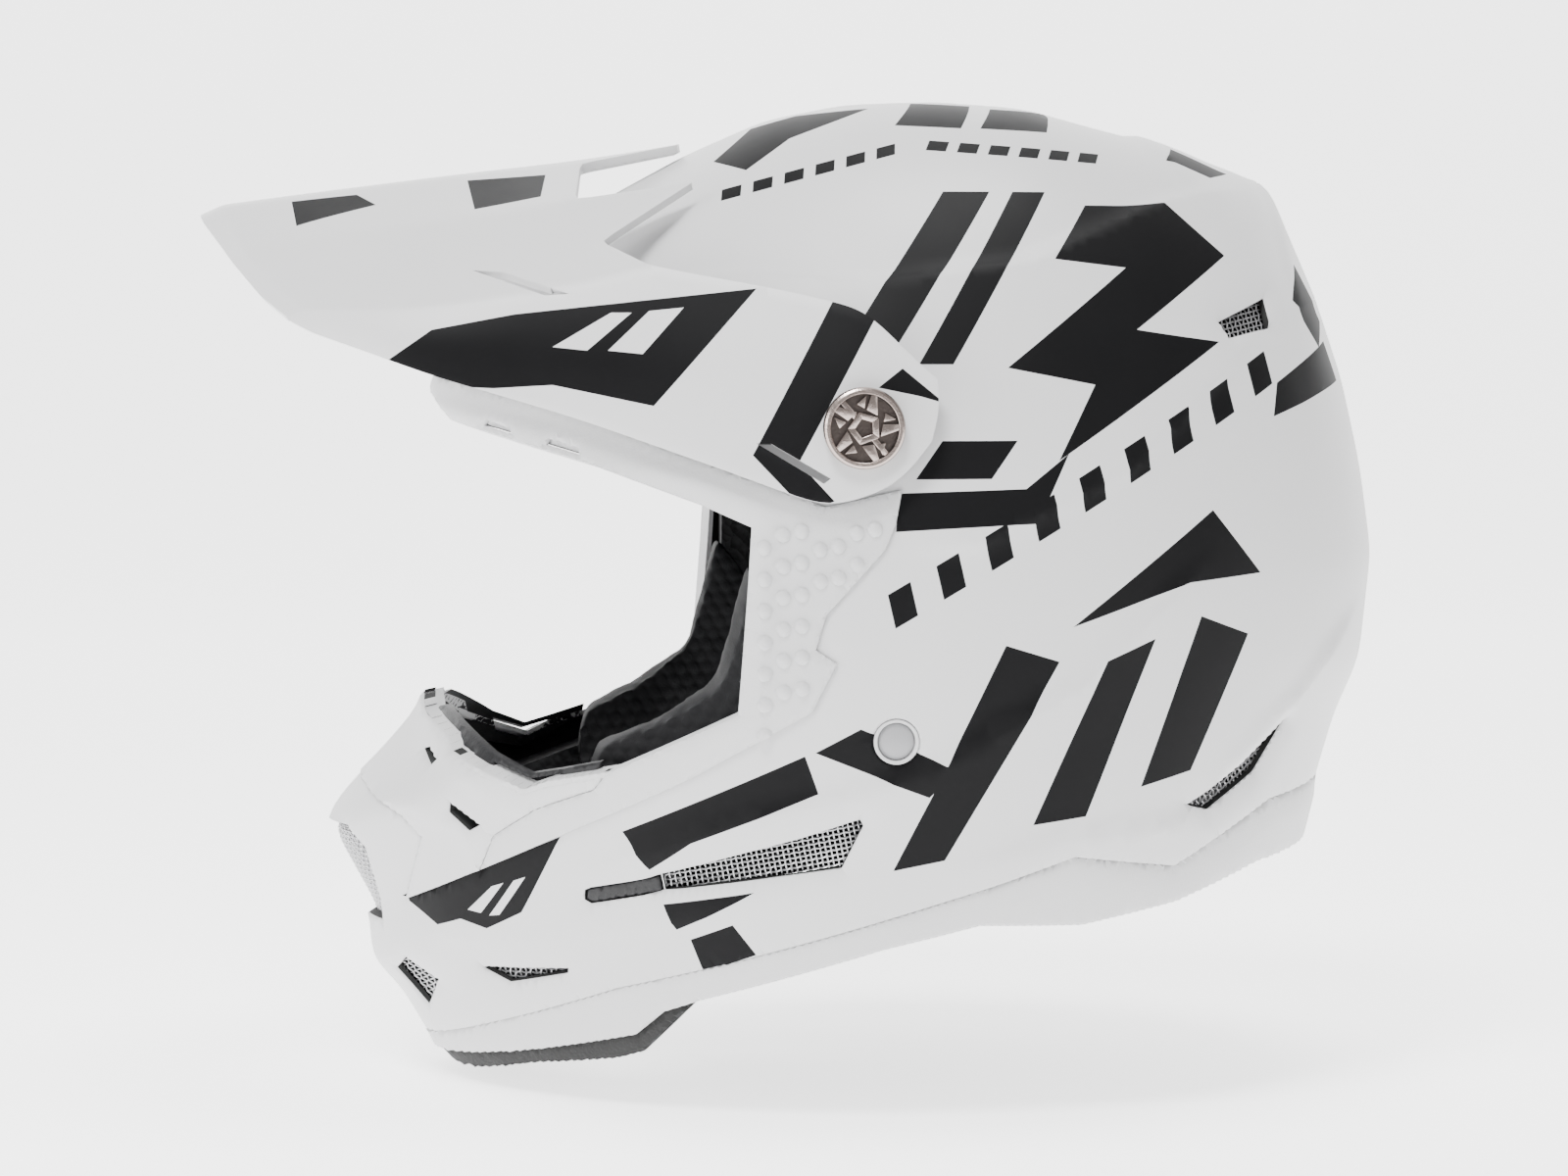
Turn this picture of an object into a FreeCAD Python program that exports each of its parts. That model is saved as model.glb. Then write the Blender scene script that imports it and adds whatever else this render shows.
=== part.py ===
"""Motocross helmet as an assembly of separate pieces, in millimetres.

Frame: +Z up, the helmet faces -Y and +X is the wearer's left. The origin is the centre of the head space,
level with the widest section. Every moulded layer is a slice of one egg-shaped envelope: the envelope at
depth 0 is the outside of the shell, and larger depths lie further in.
"""

import FreeCAD, Part

import math
import os

from FreeCAD import Rotation, Vector

DOC = FreeCAD.newDocument("motocross_helmet")
NODES = []  # the objects that are written out, in the order in which they are made

# ---------------------------------------------------------------------------- driving dimensions

DIMENSIONS = [
    ("half_width", 129.0),  # envelope, centre to temple
    ("shell_wall", 3.0),
    ("trim_proud", 1.2),  # eyeport trim stands this far off the shell
    ("mesh_depth", 3.2),
    ("mesh_thickness", 0.8),
    ("foam_depth", 4.2),  # outside of the outer foam liner
    ("foam_inside", 20.0),
    ("damper_gap", 5.0),  # between the two foam liners
    ("inner_foam_thickness", 13.0),
    ("crown_pad_thickness", 7.6),
    ("chin_foam_inside", 24.0),
    ("cheek_pad_inside", 49.5),
    ("visor_wall", 2.6),
    ("pivot_back", -19.6),  # visor pivot, Y
    ("pivot_up", 54.0),  # visor pivot, Z
    ("seat_face", 129.6),  # X of the face under the screw head
    ("screw_head_radius", 11.8),
    ("screw_head_height", 4.2),
    ("screw_shank_radius", 4.0),
    ("screw_tip", 111.0),
    ("running_clearance", 0.06),
    ("insert_radius", 9.0),
    ("rivet_back", -9.7),
    ("rivet_up", -36.7),
    ("rivet_head_radius", 5.3),
    ("rivet_cup_radius", 6.6),
    ("strap_width", 20.0),
    ("strap_thickness", 1.8),
    ("ring_wire_radius", 1.9),
    ("ring_bend_radius", 13.0),
    ("ring_pitch", 5.0),
    ("damper_radius", 6.0),
    ("damper_clearance", 1.0),  # to each foam liner, for the float of the inner one
]

SHEET = DOC.addObject("Spreadsheet::Sheet", "Dimensions")
for row, (alias, value) in enumerate(DIMENSIONS, start=1):
    SHEET.set(f"A{row}", alias)
    SHEET.set(f"B{row}", str(value))
    SHEET.setAlias(f"B{row}", alias)
DOC.recompute()


def dim(alias):
    return float(getattr(SHEET, alias))


# Outline of the envelope on the centre plane, as (Y, Z), from the brow over the crown and round under the
# chin. Below the neck opening it only shapes how far the sides tuck in.
OUTLINE = [
    (-144, 62), (-135, 82), (-113, 105), (-88, 123), (-64, 136), (-39, 147), (-14, 152), (14, 153),
    (42, 151), (64, 145), (88, 139), (118, 128), (126, 110), (136, 88), (143, 67), (149, 40), (153, 12),
    (149, -22), (141, -39), (135, -59), (129, -84), (113, -130), (60, -205), (0, -226), (-64, -211),
    (-119, -167), (-143, -144), (-154, -125), (-165, -115), (-162, -104), (-180, -71), (-166, -58),
    (-145, -34), (-142, -12), (-140, 12), (-142, 40),
]

# ---------------------------------------------------------------------------- the envelope

ANGLES = 720  # table resolution round the outline
SHARP_DEG = 3.5  # rounding of the outline's corners on the centre plane
SOFT_DEG = 40.0  # rounding near the temples
RING_POINTS = 44
RINGS_DEG = (6, 13, 23, 36, 49, 61, 72, 81.5)  # the first is flat and closes the end of the envelope
POINTED = (205.0, 38.0, 0.28)  # centre, spread and strength of the pointed chin


def outline_radius(angle):
    """Distance from the origin to the outline along a ray."""
    c, s = math.cos(angle), math.sin(angle)
    found = 0.0
    for (y1, z1), (y2, z2) in zip(OUTLINE, OUTLINE[1:] + OUTLINE[:1]):
        dy, dz = y2 - y1, z2 - z1
        cross = c * dz - s * dy
        if abs(cross) < 1e-12:
            continue
        along = (y1 * dz - z1 * dy) / cross
        share = (y1 * s - z1 * c) / cross
        if along > 0 and -1e-9 <= share <= 1 + 1e-9:
            found = max(found, along)
    return found


def rounded(table, degrees):
    """The table of radii, averaged over a window to round its corners."""
    reach = max(1, int(degrees / 360 * ANGLES))
    weights = [math.exp(-0.5 * (2.2 * k / reach) ** 2) for k in range(-reach, reach + 1)]
    total = sum(weights)
    return [
        sum(w * table[(i + k) % ANGLES] for w, k in zip(weights, range(-reach, reach + 1))) / total
        for i in range(ANGLES)
    ]


RAW = [outline_radius(math.radians(i * 360 / ANGLES)) for i in range(ANGLES)]
SHARP = rounded(RAW, SHARP_DEG)
SOFT = rounded(RAW, SOFT_DEG)


def look_up(table, angle):
    place = (math.degrees(angle) % 360) / 360 * ANGLES
    first = int(place) % ANGLES
    share = place - int(place)
    return table[first] * (1 - share) + table[(first + 1) % ANGLES] * share


def envelope_point(angle, rise, depth, side=1):
    """A point of the envelope: angle goes round the side view, rise from 0 at the temple to 90 degrees."""
    share = min(1.0, max(0.0, (math.degrees(rise) - 25) / 65))
    share = share * share * (3 - 2 * share)
    radius = look_up(SOFT, angle) * (1 - share) + look_up(SHARP, angle) * share - depth
    centre, spread, strength = POINTED
    strength *= min(1.0, max(0.0, (math.degrees(rise) - 8) / 30))
    power = 1 + strength * math.exp(-(((math.degrees(angle) % 360 - centre) / spread) ** 2))
    across = (dim("half_width") - depth) * max(0.0, math.cos(rise)) ** power
    out = radius * math.sin(rise)
    return Vector(side * across, out * math.cos(angle), out * math.sin(angle))


def envelope_x(y, z, depth=0.0):
    """Half-width of the envelope at a place in the side view, by bisection."""
    angle, radius = math.atan2(z, y), math.hypot(y, z)
    low, high = 0.0, math.pi / 2
    for _ in range(40):
        middle = (low + high) / 2
        p = envelope_point(angle, middle, depth)
        if math.hypot(p.y, p.z) < radius:
            low = middle
        else:
            high = middle
    return envelope_point(angle, low, depth).x


ENVELOPES = {}


def envelope(depth):
    """The closed envelope at a depth, lofted through rings from temple to temple."""
    if depth not in ENVELOPES:
        rises = [math.radians(d) for d in RINGS_DEG]
        stations = [(r, 1) for r in rises] + [(math.pi / 2, 1)] + [(r, -1) for r in reversed(rises)]
        sections = []
        for rise, side in stations:
            curve = Part.BSplineCurve()
            ring = [
                envelope_point(2 * math.pi * i / RING_POINTS, rise, depth, side) for i in range(RING_POINTS)
            ]
            curve.interpolate(Points=ring, PeriodicFlag=True)
            sections.append(Part.Wire([curve.toShape()]))
        ENVELOPES[depth] = Part.makeLoft(sections, True)
    return ENVELOPES[depth]


# ---------------------------------------------------------------------------- helpers

FAR = 220.0  # beyond every surface


def side_prism(points, low=-FAR, high=FAR, grow=0.0):
    """A side-view polygon of (Y, Z) points, extruded along X and widened by grow."""
    wire = Part.makePolygon([Vector(low, y, z) for y, z in [*points, points[0]]])
    face = Part.Face(wire)
    if grow:
        face = face.makeOffset2D(grow, join=2)
    return face.extrude(Vector(high - low, 0, 0))


def front_prism(points, low, high):
    """A front-view polygon of (X, Z) points, extruded along Y."""
    wire = Part.makePolygon([Vector(x, low, z) for x, z in [*points, points[0]]])
    return Part.Face(wire).extrude(Vector(0, high - low, 0))


def layer(region, outer, inner):
    """The part of a prism that lies between two depths of the envelope."""
    return region.common(envelope(outer)).cut(envelope(inner))


def mirrored(shape):
    return shape.mirror(Vector(0, 0, 0), Vector(1, 0, 0))


def tidy(shape):
    """The solids of a boolean result, dropping crumbs."""
    solids = [s for s in shape.Solids if s.Volume > 1.0]
    return solids[0] if len(solids) == 1 else Part.makeCompound(solids)


def freeform(label, shape):
    """Adds a moulded piece whose shape no standard feature makes."""
    piece = DOC.addObject("Part::Feature", label)
    piece.Shape = tidy(shape)
    piece.Label = label
    NODES.append(piece)
    return piece


def both_sides(label, shape):
    freeform(label + "_left", shape)
    freeform(label + "_right", mirrored(shape))


def bound(kind, name, **bindings):
    """A hidden Part primitive whose sizes follow the sheet."""
    made = DOC.addObject(kind, name)
    for prop, formula in bindings.items():
        made.setExpression(prop, formula)
    return made


# ---------------------------------------------------------------------------- side-view regions

EYEPORT = [
    (-200, 66), (-143, 62), (-137, 54), (-98, 43), (-67, 32), (-51, 25), (-52, 9), (-53, -4), (-55, -29),
    (-69, -36), (-91, -47), (-109, -51), (-116, -54), (-129, -49), (-137, -45), (-138, -41), (-145, -36),
    (-146, -31), (-200, -20),
]
TRIM_REGION = [
    (-200, 80), (-142, 67), (-101, 57), (-80, 49), (-43, 36), (-30, 31), (-8, 36), (-10, 26), (-13, 19),
    (-30, 0), (-33, -10), (-27, -14), (-34, -28), (-70, -49), (-103, -66), (-129, -80), (-125, -69),
    (-113, -60), (-96, -53), (-91, -46), (-60, -20), (-60, 20), (-100, 40), (-200, 50),
]
MOUTH_REGION = [
    (-200, 0), (-200, -58), (-166, -57), (-153, -66), (-147, -72), (-152, -93), (-129, -80), (-125, -69),
    (-113, -60), (-96, -53), (-91, -46), (-100, 0),
]
PANEL_LINE = [
    (-200, -139), (-146, -139), (-124, -129), (-89, -114), (-56, -104), (-30, -96), (2, -86), (44, -72),
    (76, -77), (109, -60), (135, -57), (200, -57),
]
LOWER_EDGE = [
    (-200, -144), (-144, -144), (-130, -141), (-111, -136), (-83, -128), (-75, -120), (-65, -116),
    (-12, -99), (16, -92), (47, -93), (77, -88), (105, -79), (130, -76), (200, -76),
]
CHEEK_VENT = [(-77, -78), (-76, -83), (-25, -75), (-19, -62), (-20, -60), (-37, -66), (-54, -71)]
CHEEK_INSERT = [(-99, -84), (-77.4, -78), (-76.4, -83), (-98, -88)]
LOW_VENT = [(-130, -112), (-121, -116), (-104, -111), (-104, -109.5)]
FRONT_VENT = [(-153, -113), (-143, -119), (-146, -129), (-156, -118)]
REAR_HIGH_VENT = [(92, 85), (109, 92), (110, 83), (95, 80)]
REAR_LOW_VENT = [(80, -59), (87, -61), (103, -51), (113, -36), (98, -48)]
BROW_VENTS = [
    [(-129, 48), (-118, 46), (-119, 52), (-126, 54.5)],
    [(-111, 43), (-99, 41), (-99.5, 47), (-108, 49.5)],
]
NOSE_GUARD = [
    (-200, -36), (-146, -36), (-143, -35), (-137, -39.5), (-128, -46), (-117, -51), (-108, -49), (-96, -46),
    (-97, -50), (-110, -56), (-118, -59), (-131, -56), (-141, -50), (-148, -43), (-200, -43),
]
NOSE_SLOTS = [
    [(-140, -43), (-134, -46.5), (-134.5, -49), (-140, -46.5)],
    [(-128, -48.5), (-117, -52.5), (-108, -50.5), (-112, -54), (-119, -56), (-127, -53)],
]
VISOR_SLOTS = [
    [(-131, 99.5), (-122, 99), (-103, 92.5), (-110, 92)],
    [(-50, 49.5), (-46, 49.5), (-29, 39.5), (-31, 38)],
]
MOUTH_VENT = [(-26, -78), (-20, -72), (20, -72), (26, -78), (18, -102), (-18, -102)]
MOUTH_SLOTS = [
    [(-146, -46), (-144, -45), (-142, -48), (-144, -50)],
    [(-138, -60), (-129, -66), (-132, -68), (-138, -63)],
]


def below(line):
    return [*line, (FAR, -FAR), (-FAR, -FAR)]


def above(line):
    return [*line, (FAR, FAR), (-FAR, FAR)]


def side_vents():
    """Cutters for every vent that opens sideways, on both sides."""
    return [side_prism(v) for v in (CHEEK_VENT, LOW_VENT, REAR_HIGH_VENT, REAR_LOW_VENT)] + [
        side_prism(FRONT_VENT, 14, 80),
        side_prism(FRONT_VENT, -80, -14),
    ]


def pivot_cylinder(radius, low, high):
    centre = Vector(low, dim("pivot_back"), dim("pivot_up"))
    return Part.makeCylinder(radius, high - low, centre, Vector(1, 0, 0))


def rivet_cylinder(radius, low, high):
    centre = Vector(low, dim("rivet_back"), dim("rivet_up"))
    return Part.makeCylinder(radius, high - low, centre, Vector(1, 0, 0))


# ---------------------------------------------------------------------------- shell and trims


def make_shell():
    cutters = [side_prism(EYEPORT, grow=1.8), side_prism(MOUTH_REGION, grow=0.15)]
    cutters += side_vents()
    cutters += [side_prism(CHEEK_INSERT)]
    cutters.append(front_prism(MOUTH_VENT, -FAR, -120))
    for hole in (
        pivot_cylinder(dim("insert_radius") + 0.05, 90, 150),
        rivet_cylinder(dim("rivet_cup_radius") + 0.05, 90, 150),
    ):
        cutters += [hole, mirrored(hole)]
    freeform("outer_shell", layer(side_prism(above(PANEL_LINE)).cut(cutters), 0.0, dim("shell_wall")))


def make_bottom_trim():
    band = side_prism(below(PANEL_LINE)).common(side_prism(above(LOWER_EDGE)))
    freeform("bottom_edge_trim", layer(band, -0.4, dim("shell_wall") + 0.6))


def make_eyeport_trim():
    proud = -dim("trim_proud")
    region = side_prism(TRIM_REGION)
    opening = side_prism(EYEPORT)
    vents = [side_prism(v, s * 20, s * FAR) for v in BROW_VENTS for s in (1, -1)]
    region = region.cut([opening, *vents])
    flange = layer(region, proud, -0.05)
    lip = layer(region.common(side_prism(EYEPORT, grow=1.6)), proud, 6.0)
    freeform("eyeport_trim", flange.fuse(lip))


def make_mouthpiece():
    slots = [side_prism(s) for s in MOUTH_SLOTS]
    region = side_prism(MOUTH_REGION).cut([side_prism(EYEPORT), *slots])
    freeform("mouthpiece", layer(region, -1.4, dim("shell_wall")))


def make_nose_guard():
    region = side_prism(NOSE_GUARD).cut([side_prism(s) for s in NOSE_SLOTS])
    freeform("nose_guard", layer(region, 3.4, 5.8))


def make_meshes():
    deep = dim("mesh_depth")
    thin = dim("mesh_thickness")
    for label, outline in (
        ("cheek_vent_mesh", CHEEK_VENT),
        ("lower_vent_mesh", LOW_VENT),
        ("rear_upper_vent_mesh", REAR_HIGH_VENT),
        ("rear_lower_vent_mesh", REAR_LOW_VENT),
    ):
        both_sides(label, layer(side_prism(outline, 10, FAR, grow=1.6), deep, deep + thin))
    both_sides("front_vent_mesh", layer(side_prism(FRONT_VENT, 13, 80, grow=1.0), deep, deep + thin))
    wide = [(x * 1.1, -87 + (z + 87) * 1.1) for x, z in MOUTH_VENT]
    freeform("mouth_vent_mesh", layer(front_prism(wide, -FAR, -120), deep, deep + thin))
    both_sides("cheek_vent_badge", layer(side_prism(CHEEK_INSERT, 10, FAR, grow=-0.15), 0.6, 3.0))


# ---------------------------------------------------------------------------- foam and pads

OUTER_FOAM = [
    (-200, 170), (-200, 72), (-146, 68), (-98, 47), (-66, 36), (-46, 28), (-46, -30), (-60, -36),
    (-60, -100), (-12, -92), (16, -87), (28, -87), (30, -70), (60, -66), (90, -58), (120, -48), (200, -40),
    (200, 170),
]
INNER_FOAM = [
    (-200, 170), (-200, 68), (-142, 66), (-98, 53), (-62, 41), (-30, 24), (0, -8), (40, -34), (90, -44),
    (200, -44), (200, 170),
]
CROWN_PAD = [
    (-200, 170), (-200, 70), (-142, 68), (-98, 55), (-60, 44), (-26, 26), (4, -6), (42, -30), (90, -40),
    (200, -40), (200, 170),
]
CHIN_FOAM = [
    (-200, -50), (-145, -52), (-129, -58), (-116, -62), (-91, -55), (-69, -44), (-62, -40), (-62, -112),
    (-83, -124), (-111, -132), (-130, -137), (-200, -140),
]
CHEEK_PAD = [
    (-50, 16), (-55, -8), (-61, -23), (-78, -34), (-95, -42), (-98, -57), (-88, -74), (-70, -85),
    (-20, -85), (26, -82), (26, -56), (0, -42), (-30, -14), (-40, 4),
]
NECK_ROLL = [
    (32, -92), (48, -93), (77, -88), (105, -80), (200, -76), (200, -45), (120, -53), (90, -63), (60, -71),
    (32, -75),
]
CHIN_ROLL = [
    (-200, -144.2), (-144, -144.2), (-130, -141.2), (-111, -136.2), (-83, -128.2), (-75, -120.2),
    (-65, -116.2), (-81, -135), (-89, -138), (-114, -143), (-128, -148), (-140, -150), (-200, -150),
]
STRAP_SLOT = [(-22, -24), (3, -24), (3, -100), (-22, -100)]


def foam_inside():
    return dim("foam_inside")


def inner_foam_outside():
    return dim("foam_inside") + dim("damper_gap")


def crown_outside():
    return inner_foam_outside() + dim("inner_foam_thickness") + 0.4


def make_foam():
    cutters = [side_prism(v, grow=0.5) for v in (CHEEK_VENT, REAR_HIGH_VENT, REAR_LOW_VENT)]
    for hole in (
        pivot_cylinder(dim("insert_radius") + 1.5, 90, 150),
        side_prism(STRAP_SLOT, 85, 150),
    ):
        cutters += [hole, mirrored(hole)]
    region = side_prism(OUTER_FOAM).cut(cutters)
    freeform("outer_foam_liner", layer(region, dim("foam_depth"), foam_inside()))
    cutters = [front_prism(MOUTH_VENT, -FAR, -130), side_prism(CHEEK_VENT, grow=0.5)]
    region = side_prism(CHIN_FOAM).cut(cutters)
    freeform("chin_bar_foam", layer(region, dim("foam_depth"), dim("chin_foam_inside")))
    inside = inner_foam_outside() + dim("inner_foam_thickness")
    freeform("inner_foam_liner", layer(side_prism(INNER_FOAM), inner_foam_outside(), inside))


def make_pads():
    inside = crown_outside() + dim("crown_pad_thickness")
    freeform("crown_pad", layer(side_prism(CROWN_PAD), crown_outside(), inside))
    cheek = layer(side_prism(CHEEK_PAD, 20, FAR), dim("chin_foam_inside") + 0.6, dim("cheek_pad_inside"))
    both_sides("cheek_pad", cheek)
    freeform("neck_roll", layer(side_prism(NECK_ROLL), dim("foam_depth"), 26.0))
    freeform("chin_roll", layer(side_prism(CHIN_ROLL), 1.6, 22.0))


# ---------------------------------------------------------------------------- visor

# Creases of the left half of the visor, front to back, as (X, Y, Z). The first two stations of each crease
# are the lower and upper edge of the front rim.
RIDGE = [(0, -215, 118), (0, -208, 121), (0, -186, 124), (0, -155, 128), (0, -125, 132), (0, -97, 135),
         (0, -65, 140)]
FIN = [(14, -214, 116), (14, -207, 119.5), (15, -186, 122.5), (16, -155, 126.5), (16, -125, 130),
       (16, -97, 133), (12, -67, 139)]
SHOULDER = [(44, -203, 102), (45, -199, 105), (50, -176, 109), (52, -150, 112), (54, -125, 116),
            (57, -100, 121), (60, -65, 126)]
WING = [(62, -194, 92), (63, -189, 95), (71, -165, 97), (71, -145, 100), (68, -124, 107), (80, -93, 108)]
HIP = [(76, -186, 86), (78, -180, 88), (88, -155, 88), (91, -137, 90), (95, -118, 93), (98, -98, 96),
       (101, -80, 101), (105, -66, 98), (111, -46, 94.5), (117, -26, 90), (120, -17, 87), (125, -5, 74),
       (126.5, 2, 68)]
FLANK = [(77, -185, 85), (80, -179, 84), (93, -155, 80), (97, -139, 79), (101, -119, 78), (106, -100, 76),
         (111, -80, 74), (116, -63, 70), (122, -44, 65), (127, -28, 61), (128.5, -18, 59), (128.8, -7, 58),
         (128, 2.6, 59)]
EDGE = [(77.5, -184, 84), (81, -178, 81), (93, -155, 73), (97, -141, 68), (101, -120, 62), (105, -100, 56),
        (112, -80, 49), (121, -60, 42), (127.5, -43, 36), (130, -31, 31.5), (131.3, -20, 34),
        (131.3, -9, 38.5), (129.5, 0, 50)]
ROWS = [RIDGE, FIN, SHOULDER, WING, HIP, FLANK, EDGE]
OPEN_CELLS = {(1, 5)}  # (row, station) left open between the fin and the wing


def visor_cells():
    """Corner keys of every patch of the half visor, as (row, station) pairs."""
    cells = []
    for row in range(len(ROWS) - 1):
        for station in range(min(len(ROWS[row]), len(ROWS[row + 1])) - 1):
            if (row, station) not in OPEN_CELLS:
                cells.append(
                    [(row, station), (row, station + 1), (row + 1, station + 1), (row + 1, station)]
                )
    cells.append([(2, 5), (2, 6), (3, 5)])  # the wing's rear tip
    cells.append([(3, 5), (4, 6), (4, 5)])  # where the arm leaves the wing
    return cells


def visor_solid():
    """Both halves of the visor as a faceted sheet, thickened inwards."""
    faces, points = [], {}
    for side in (1, -1):
        for cell in visor_cells():
            corners = []
            for row, station in cell:
                x, y, z = ROWS[row][station]
                key = (row, station, side if row else 0)
                points[key] = Vector(side * x, y, z)
                corners.append(key)
            faces.append(corners if side > 0 else corners[::-1])
    triangles = []
    for corners in faces:
        for k in range(1, len(corners) - 1):
            triangles.append((corners[0], corners[k], corners[k + 1]))
    normals = {key: Vector(0, 0, 0) for key in points}
    for a, b, c in triangles:
        facing = (points[b] - points[a]).cross(points[c] - points[a])
        for key in (a, b, c):
            normals[key] = normals[key] + facing
    inner = {
        key: points[key] - Vector(n).normalize() * dim("visor_wall") for key, n in normals.items()
    }
    edges = {}
    for triangle in triangles:
        for a, b in zip(triangle, triangle[1:] + triangle[:1]):
            edges[(a, b)] = edges.get((a, b), 0) + 1
    shells = []
    for a, b, c in triangles:
        shells.append([points[a], points[b], points[c]])
        shells.append([inner[c], inner[b], inner[a]])
    for a, b in edges:
        if (b, a) not in edges:
            shells.append([points[b], points[a], inner[a]])
            shells.append([points[b], inner[a], inner[b]])
    made = Part.makeShell([Part.Face(Part.makePolygon([*t, t[0]])) for t in shells])
    solid = Part.makeSolid(made)
    if solid.Volume < 0:
        solid.reverse()
    return solid


def make_visor():
    seat = pivot_cylinder(13.5, dim("seat_face") - 4.4, dim("seat_face"))
    hole = pivot_cylinder(dim("screw_shank_radius") + 0.3, 110, 140)
    counter = pivot_cylinder(13.5, dim("seat_face"), 140)
    slots = [side_prism(v, s * 40, s * FAR) for v in VISOR_SLOTS for s in (1, -1)]
    body = visor_solid().cut([counter, mirrored(counter)]).fuse([seat, mirrored(seat)])
    freeform("visor", body.cut([hole, mirrored(hole), *slots]))


def make_visor_fittings():
    """Screws, washers and threaded inserts on the visor's pivot axis, left side first."""
    for side, name in ((1, "left"), (-1, "right")):
        turn = Rotation(Vector(0, 1, 0), 90 * side)
        make_screw(f"visor_screw_{name}", side, turn)
        make_tube(f"visor_washer_{name}", side, turn, dim("seat_face") - 7.2, dim("seat_face") - 4.6, 8.6)
        make_tube(f"visor_insert_{name}", side, turn, dim("screw_tip") - 1.0, dim("seat_face") - 7.4, None)


def make_screw(label, side, turn):
    """A large-headed screw: revolved head and shank, a coin slot and a hexagon socket."""
    body = DOC.addObject("PartDesign::Body", label)
    plane = [o for o in body.Origin.OriginFeatures if o.Role == "XZ_Plane"][0]
    sketch = body.newObject("Sketcher::SketchObject", label + "_profile")
    sketch.AttachmentSupport = (plane, [""])
    sketch.MapMode = "FlatFace"
    head, shank = dim("screw_head_radius"), dim("screw_shank_radius")
    top, length = dim("screw_head_height"), dim("seat_face") - dim("screw_tip")
    bevel = 0.9
    corners = [
        (0, -length), (shank - 0.6, -length), (shank, -length + 0.6), (shank, 0), (head, 0),
        (head, top - bevel), (head - bevel, top), (0, top),
    ]
    for (x1, y1), (x2, y2) in zip(corners, corners[1:] + corners[:1]):
        sketch.addGeometry(Part.LineSegment(Vector(x1, y1, 0), Vector(x2, y2, 0)), False)
    revolve = body.newObject("PartDesign::Revolution", label + "_turned")
    revolve.Profile = sketch
    revolve.ReferenceAxis = (sketch, ["V_Axis"])
    revolve.Angle = 360.0
    slots = body.newObject("Sketcher::SketchObject", label + "_slots")
    slots.AttachmentSupport = ([o for o in body.Origin.OriginFeatures if o.Role == "XY_Plane"][0], [""])
    slots.MapMode = "FlatFace"
    slots.AttachmentOffset = FreeCAD.Placement(Vector(0, 0, top), Rotation())
    half_slot, half_length = 0.9, head - 1.6
    socket = [(4.6 * math.cos(math.radians(60 * k)), 4.6 * math.sin(math.radians(60 * k))) for k in range(6)]
    outline = [(half_length, half_slot), (-half_length, half_slot), (-half_length, -half_slot),
               (half_length, -half_slot)]
    for (x1, y1), (x2, y2) in zip(socket, socket[1:] + socket[:1]):
        slots.addGeometry(Part.LineSegment(Vector(x1, y1, 0), Vector(x2, y2, 0)), False)
    pocket = body.newObject("PartDesign::Pocket", label + "_socket")
    pocket.Profile = slots
    pocket.Length = 2.4
    slit = body.newObject("Sketcher::SketchObject", label + "_slit")
    slit.AttachmentSupport = ([o for o in body.Origin.OriginFeatures if o.Role == "XY_Plane"][0], [""])
    slit.MapMode = "FlatFace"
    slit.AttachmentOffset = FreeCAD.Placement(Vector(0, 0, top), Rotation())
    for (x1, y1), (x2, y2) in zip(outline, outline[1:] + outline[:1]):
        slit.addGeometry(Part.LineSegment(Vector(x1, y1, 0), Vector(x2, y2, 0)), False)
    groove = body.newObject("PartDesign::Pocket", label + "_slot")
    groove.Profile = slit
    groove.Length = 1.4
    DOC.recompute()
    body.Placement = FreeCAD.Placement(
        Vector(side * dim("seat_face"), dim("pivot_back"), dim("pivot_up")), turn
    )
    body.Label = label
    NODES.append(body)


def make_tube(label, side, turn, low, high, radius):
    """A washer or insert round the pivot axis, as one cylinder cut by another."""
    outer = bound("Part::Cylinder", label + "_outside", Height=f"{high - low} mm")
    if radius is None:
        outer.setExpression("Radius", "Dimensions.insert_radius * 1 mm")
    else:
        outer.Radius = radius
    bore = bound(
        "Part::Cylinder",
        label + "_bore",
        Radius="(Dimensions.screw_shank_radius + Dimensions.running_clearance) * 1 mm",
        Height=f"{high - low + 2} mm",
    )
    place = Vector(side * low, dim("pivot_back"), dim("pivot_up"))
    outer.Placement = FreeCAD.Placement(place, turn)
    bore.Placement = FreeCAD.Placement(place - Vector(side, 0, 0), turn)
    ring = DOC.addObject("Part::Cut", label)
    ring.Base = outer
    ring.Tool = bore
    ring.Label = label
    NODES.append(ring)


# ---------------------------------------------------------------------------- straps

STRAP_PATH = [(121.2, -27), (120.2, -37), (119.2, -46), (117.7, -56), (115.9, -66), (113.6, -76), (110.8, -85),
              (107.6, -91.5), (102.5, -95.4), (94, -96.8), (82, -96.6), (72, -95.2), (65.8, -91.8), (63.4, -86),
              (65.3, -76), (67.6, -66), (69.0, -56), (69.0, -46)]


def strap_solid(path, width, thickness):
    """A band that follows a path of (X, Z) points, extruded across its width along Y."""
    left, right = [], []
    for i, (x, z) in enumerate(path):
        before, after = path[max(0, i - 1)], path[min(len(path) - 1, i + 1)]
        dx, dz = after[0] - before[0], after[1] - before[1]
        length = math.hypot(dx, dz)
        nx, nz = -dz / length * thickness / 2, dx / length * thickness / 2
        left.append((x + nx, z + nz))
        right.append((x - nx, z - nz))
    start = dim("rivet_back") - width / 2
    outline = [Vector(x, start, z) for x, z in left + right[::-1]]
    return Part.Face(Part.makePolygon([*outline, outline[0]])).extrude(Vector(0, width, 0))


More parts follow.
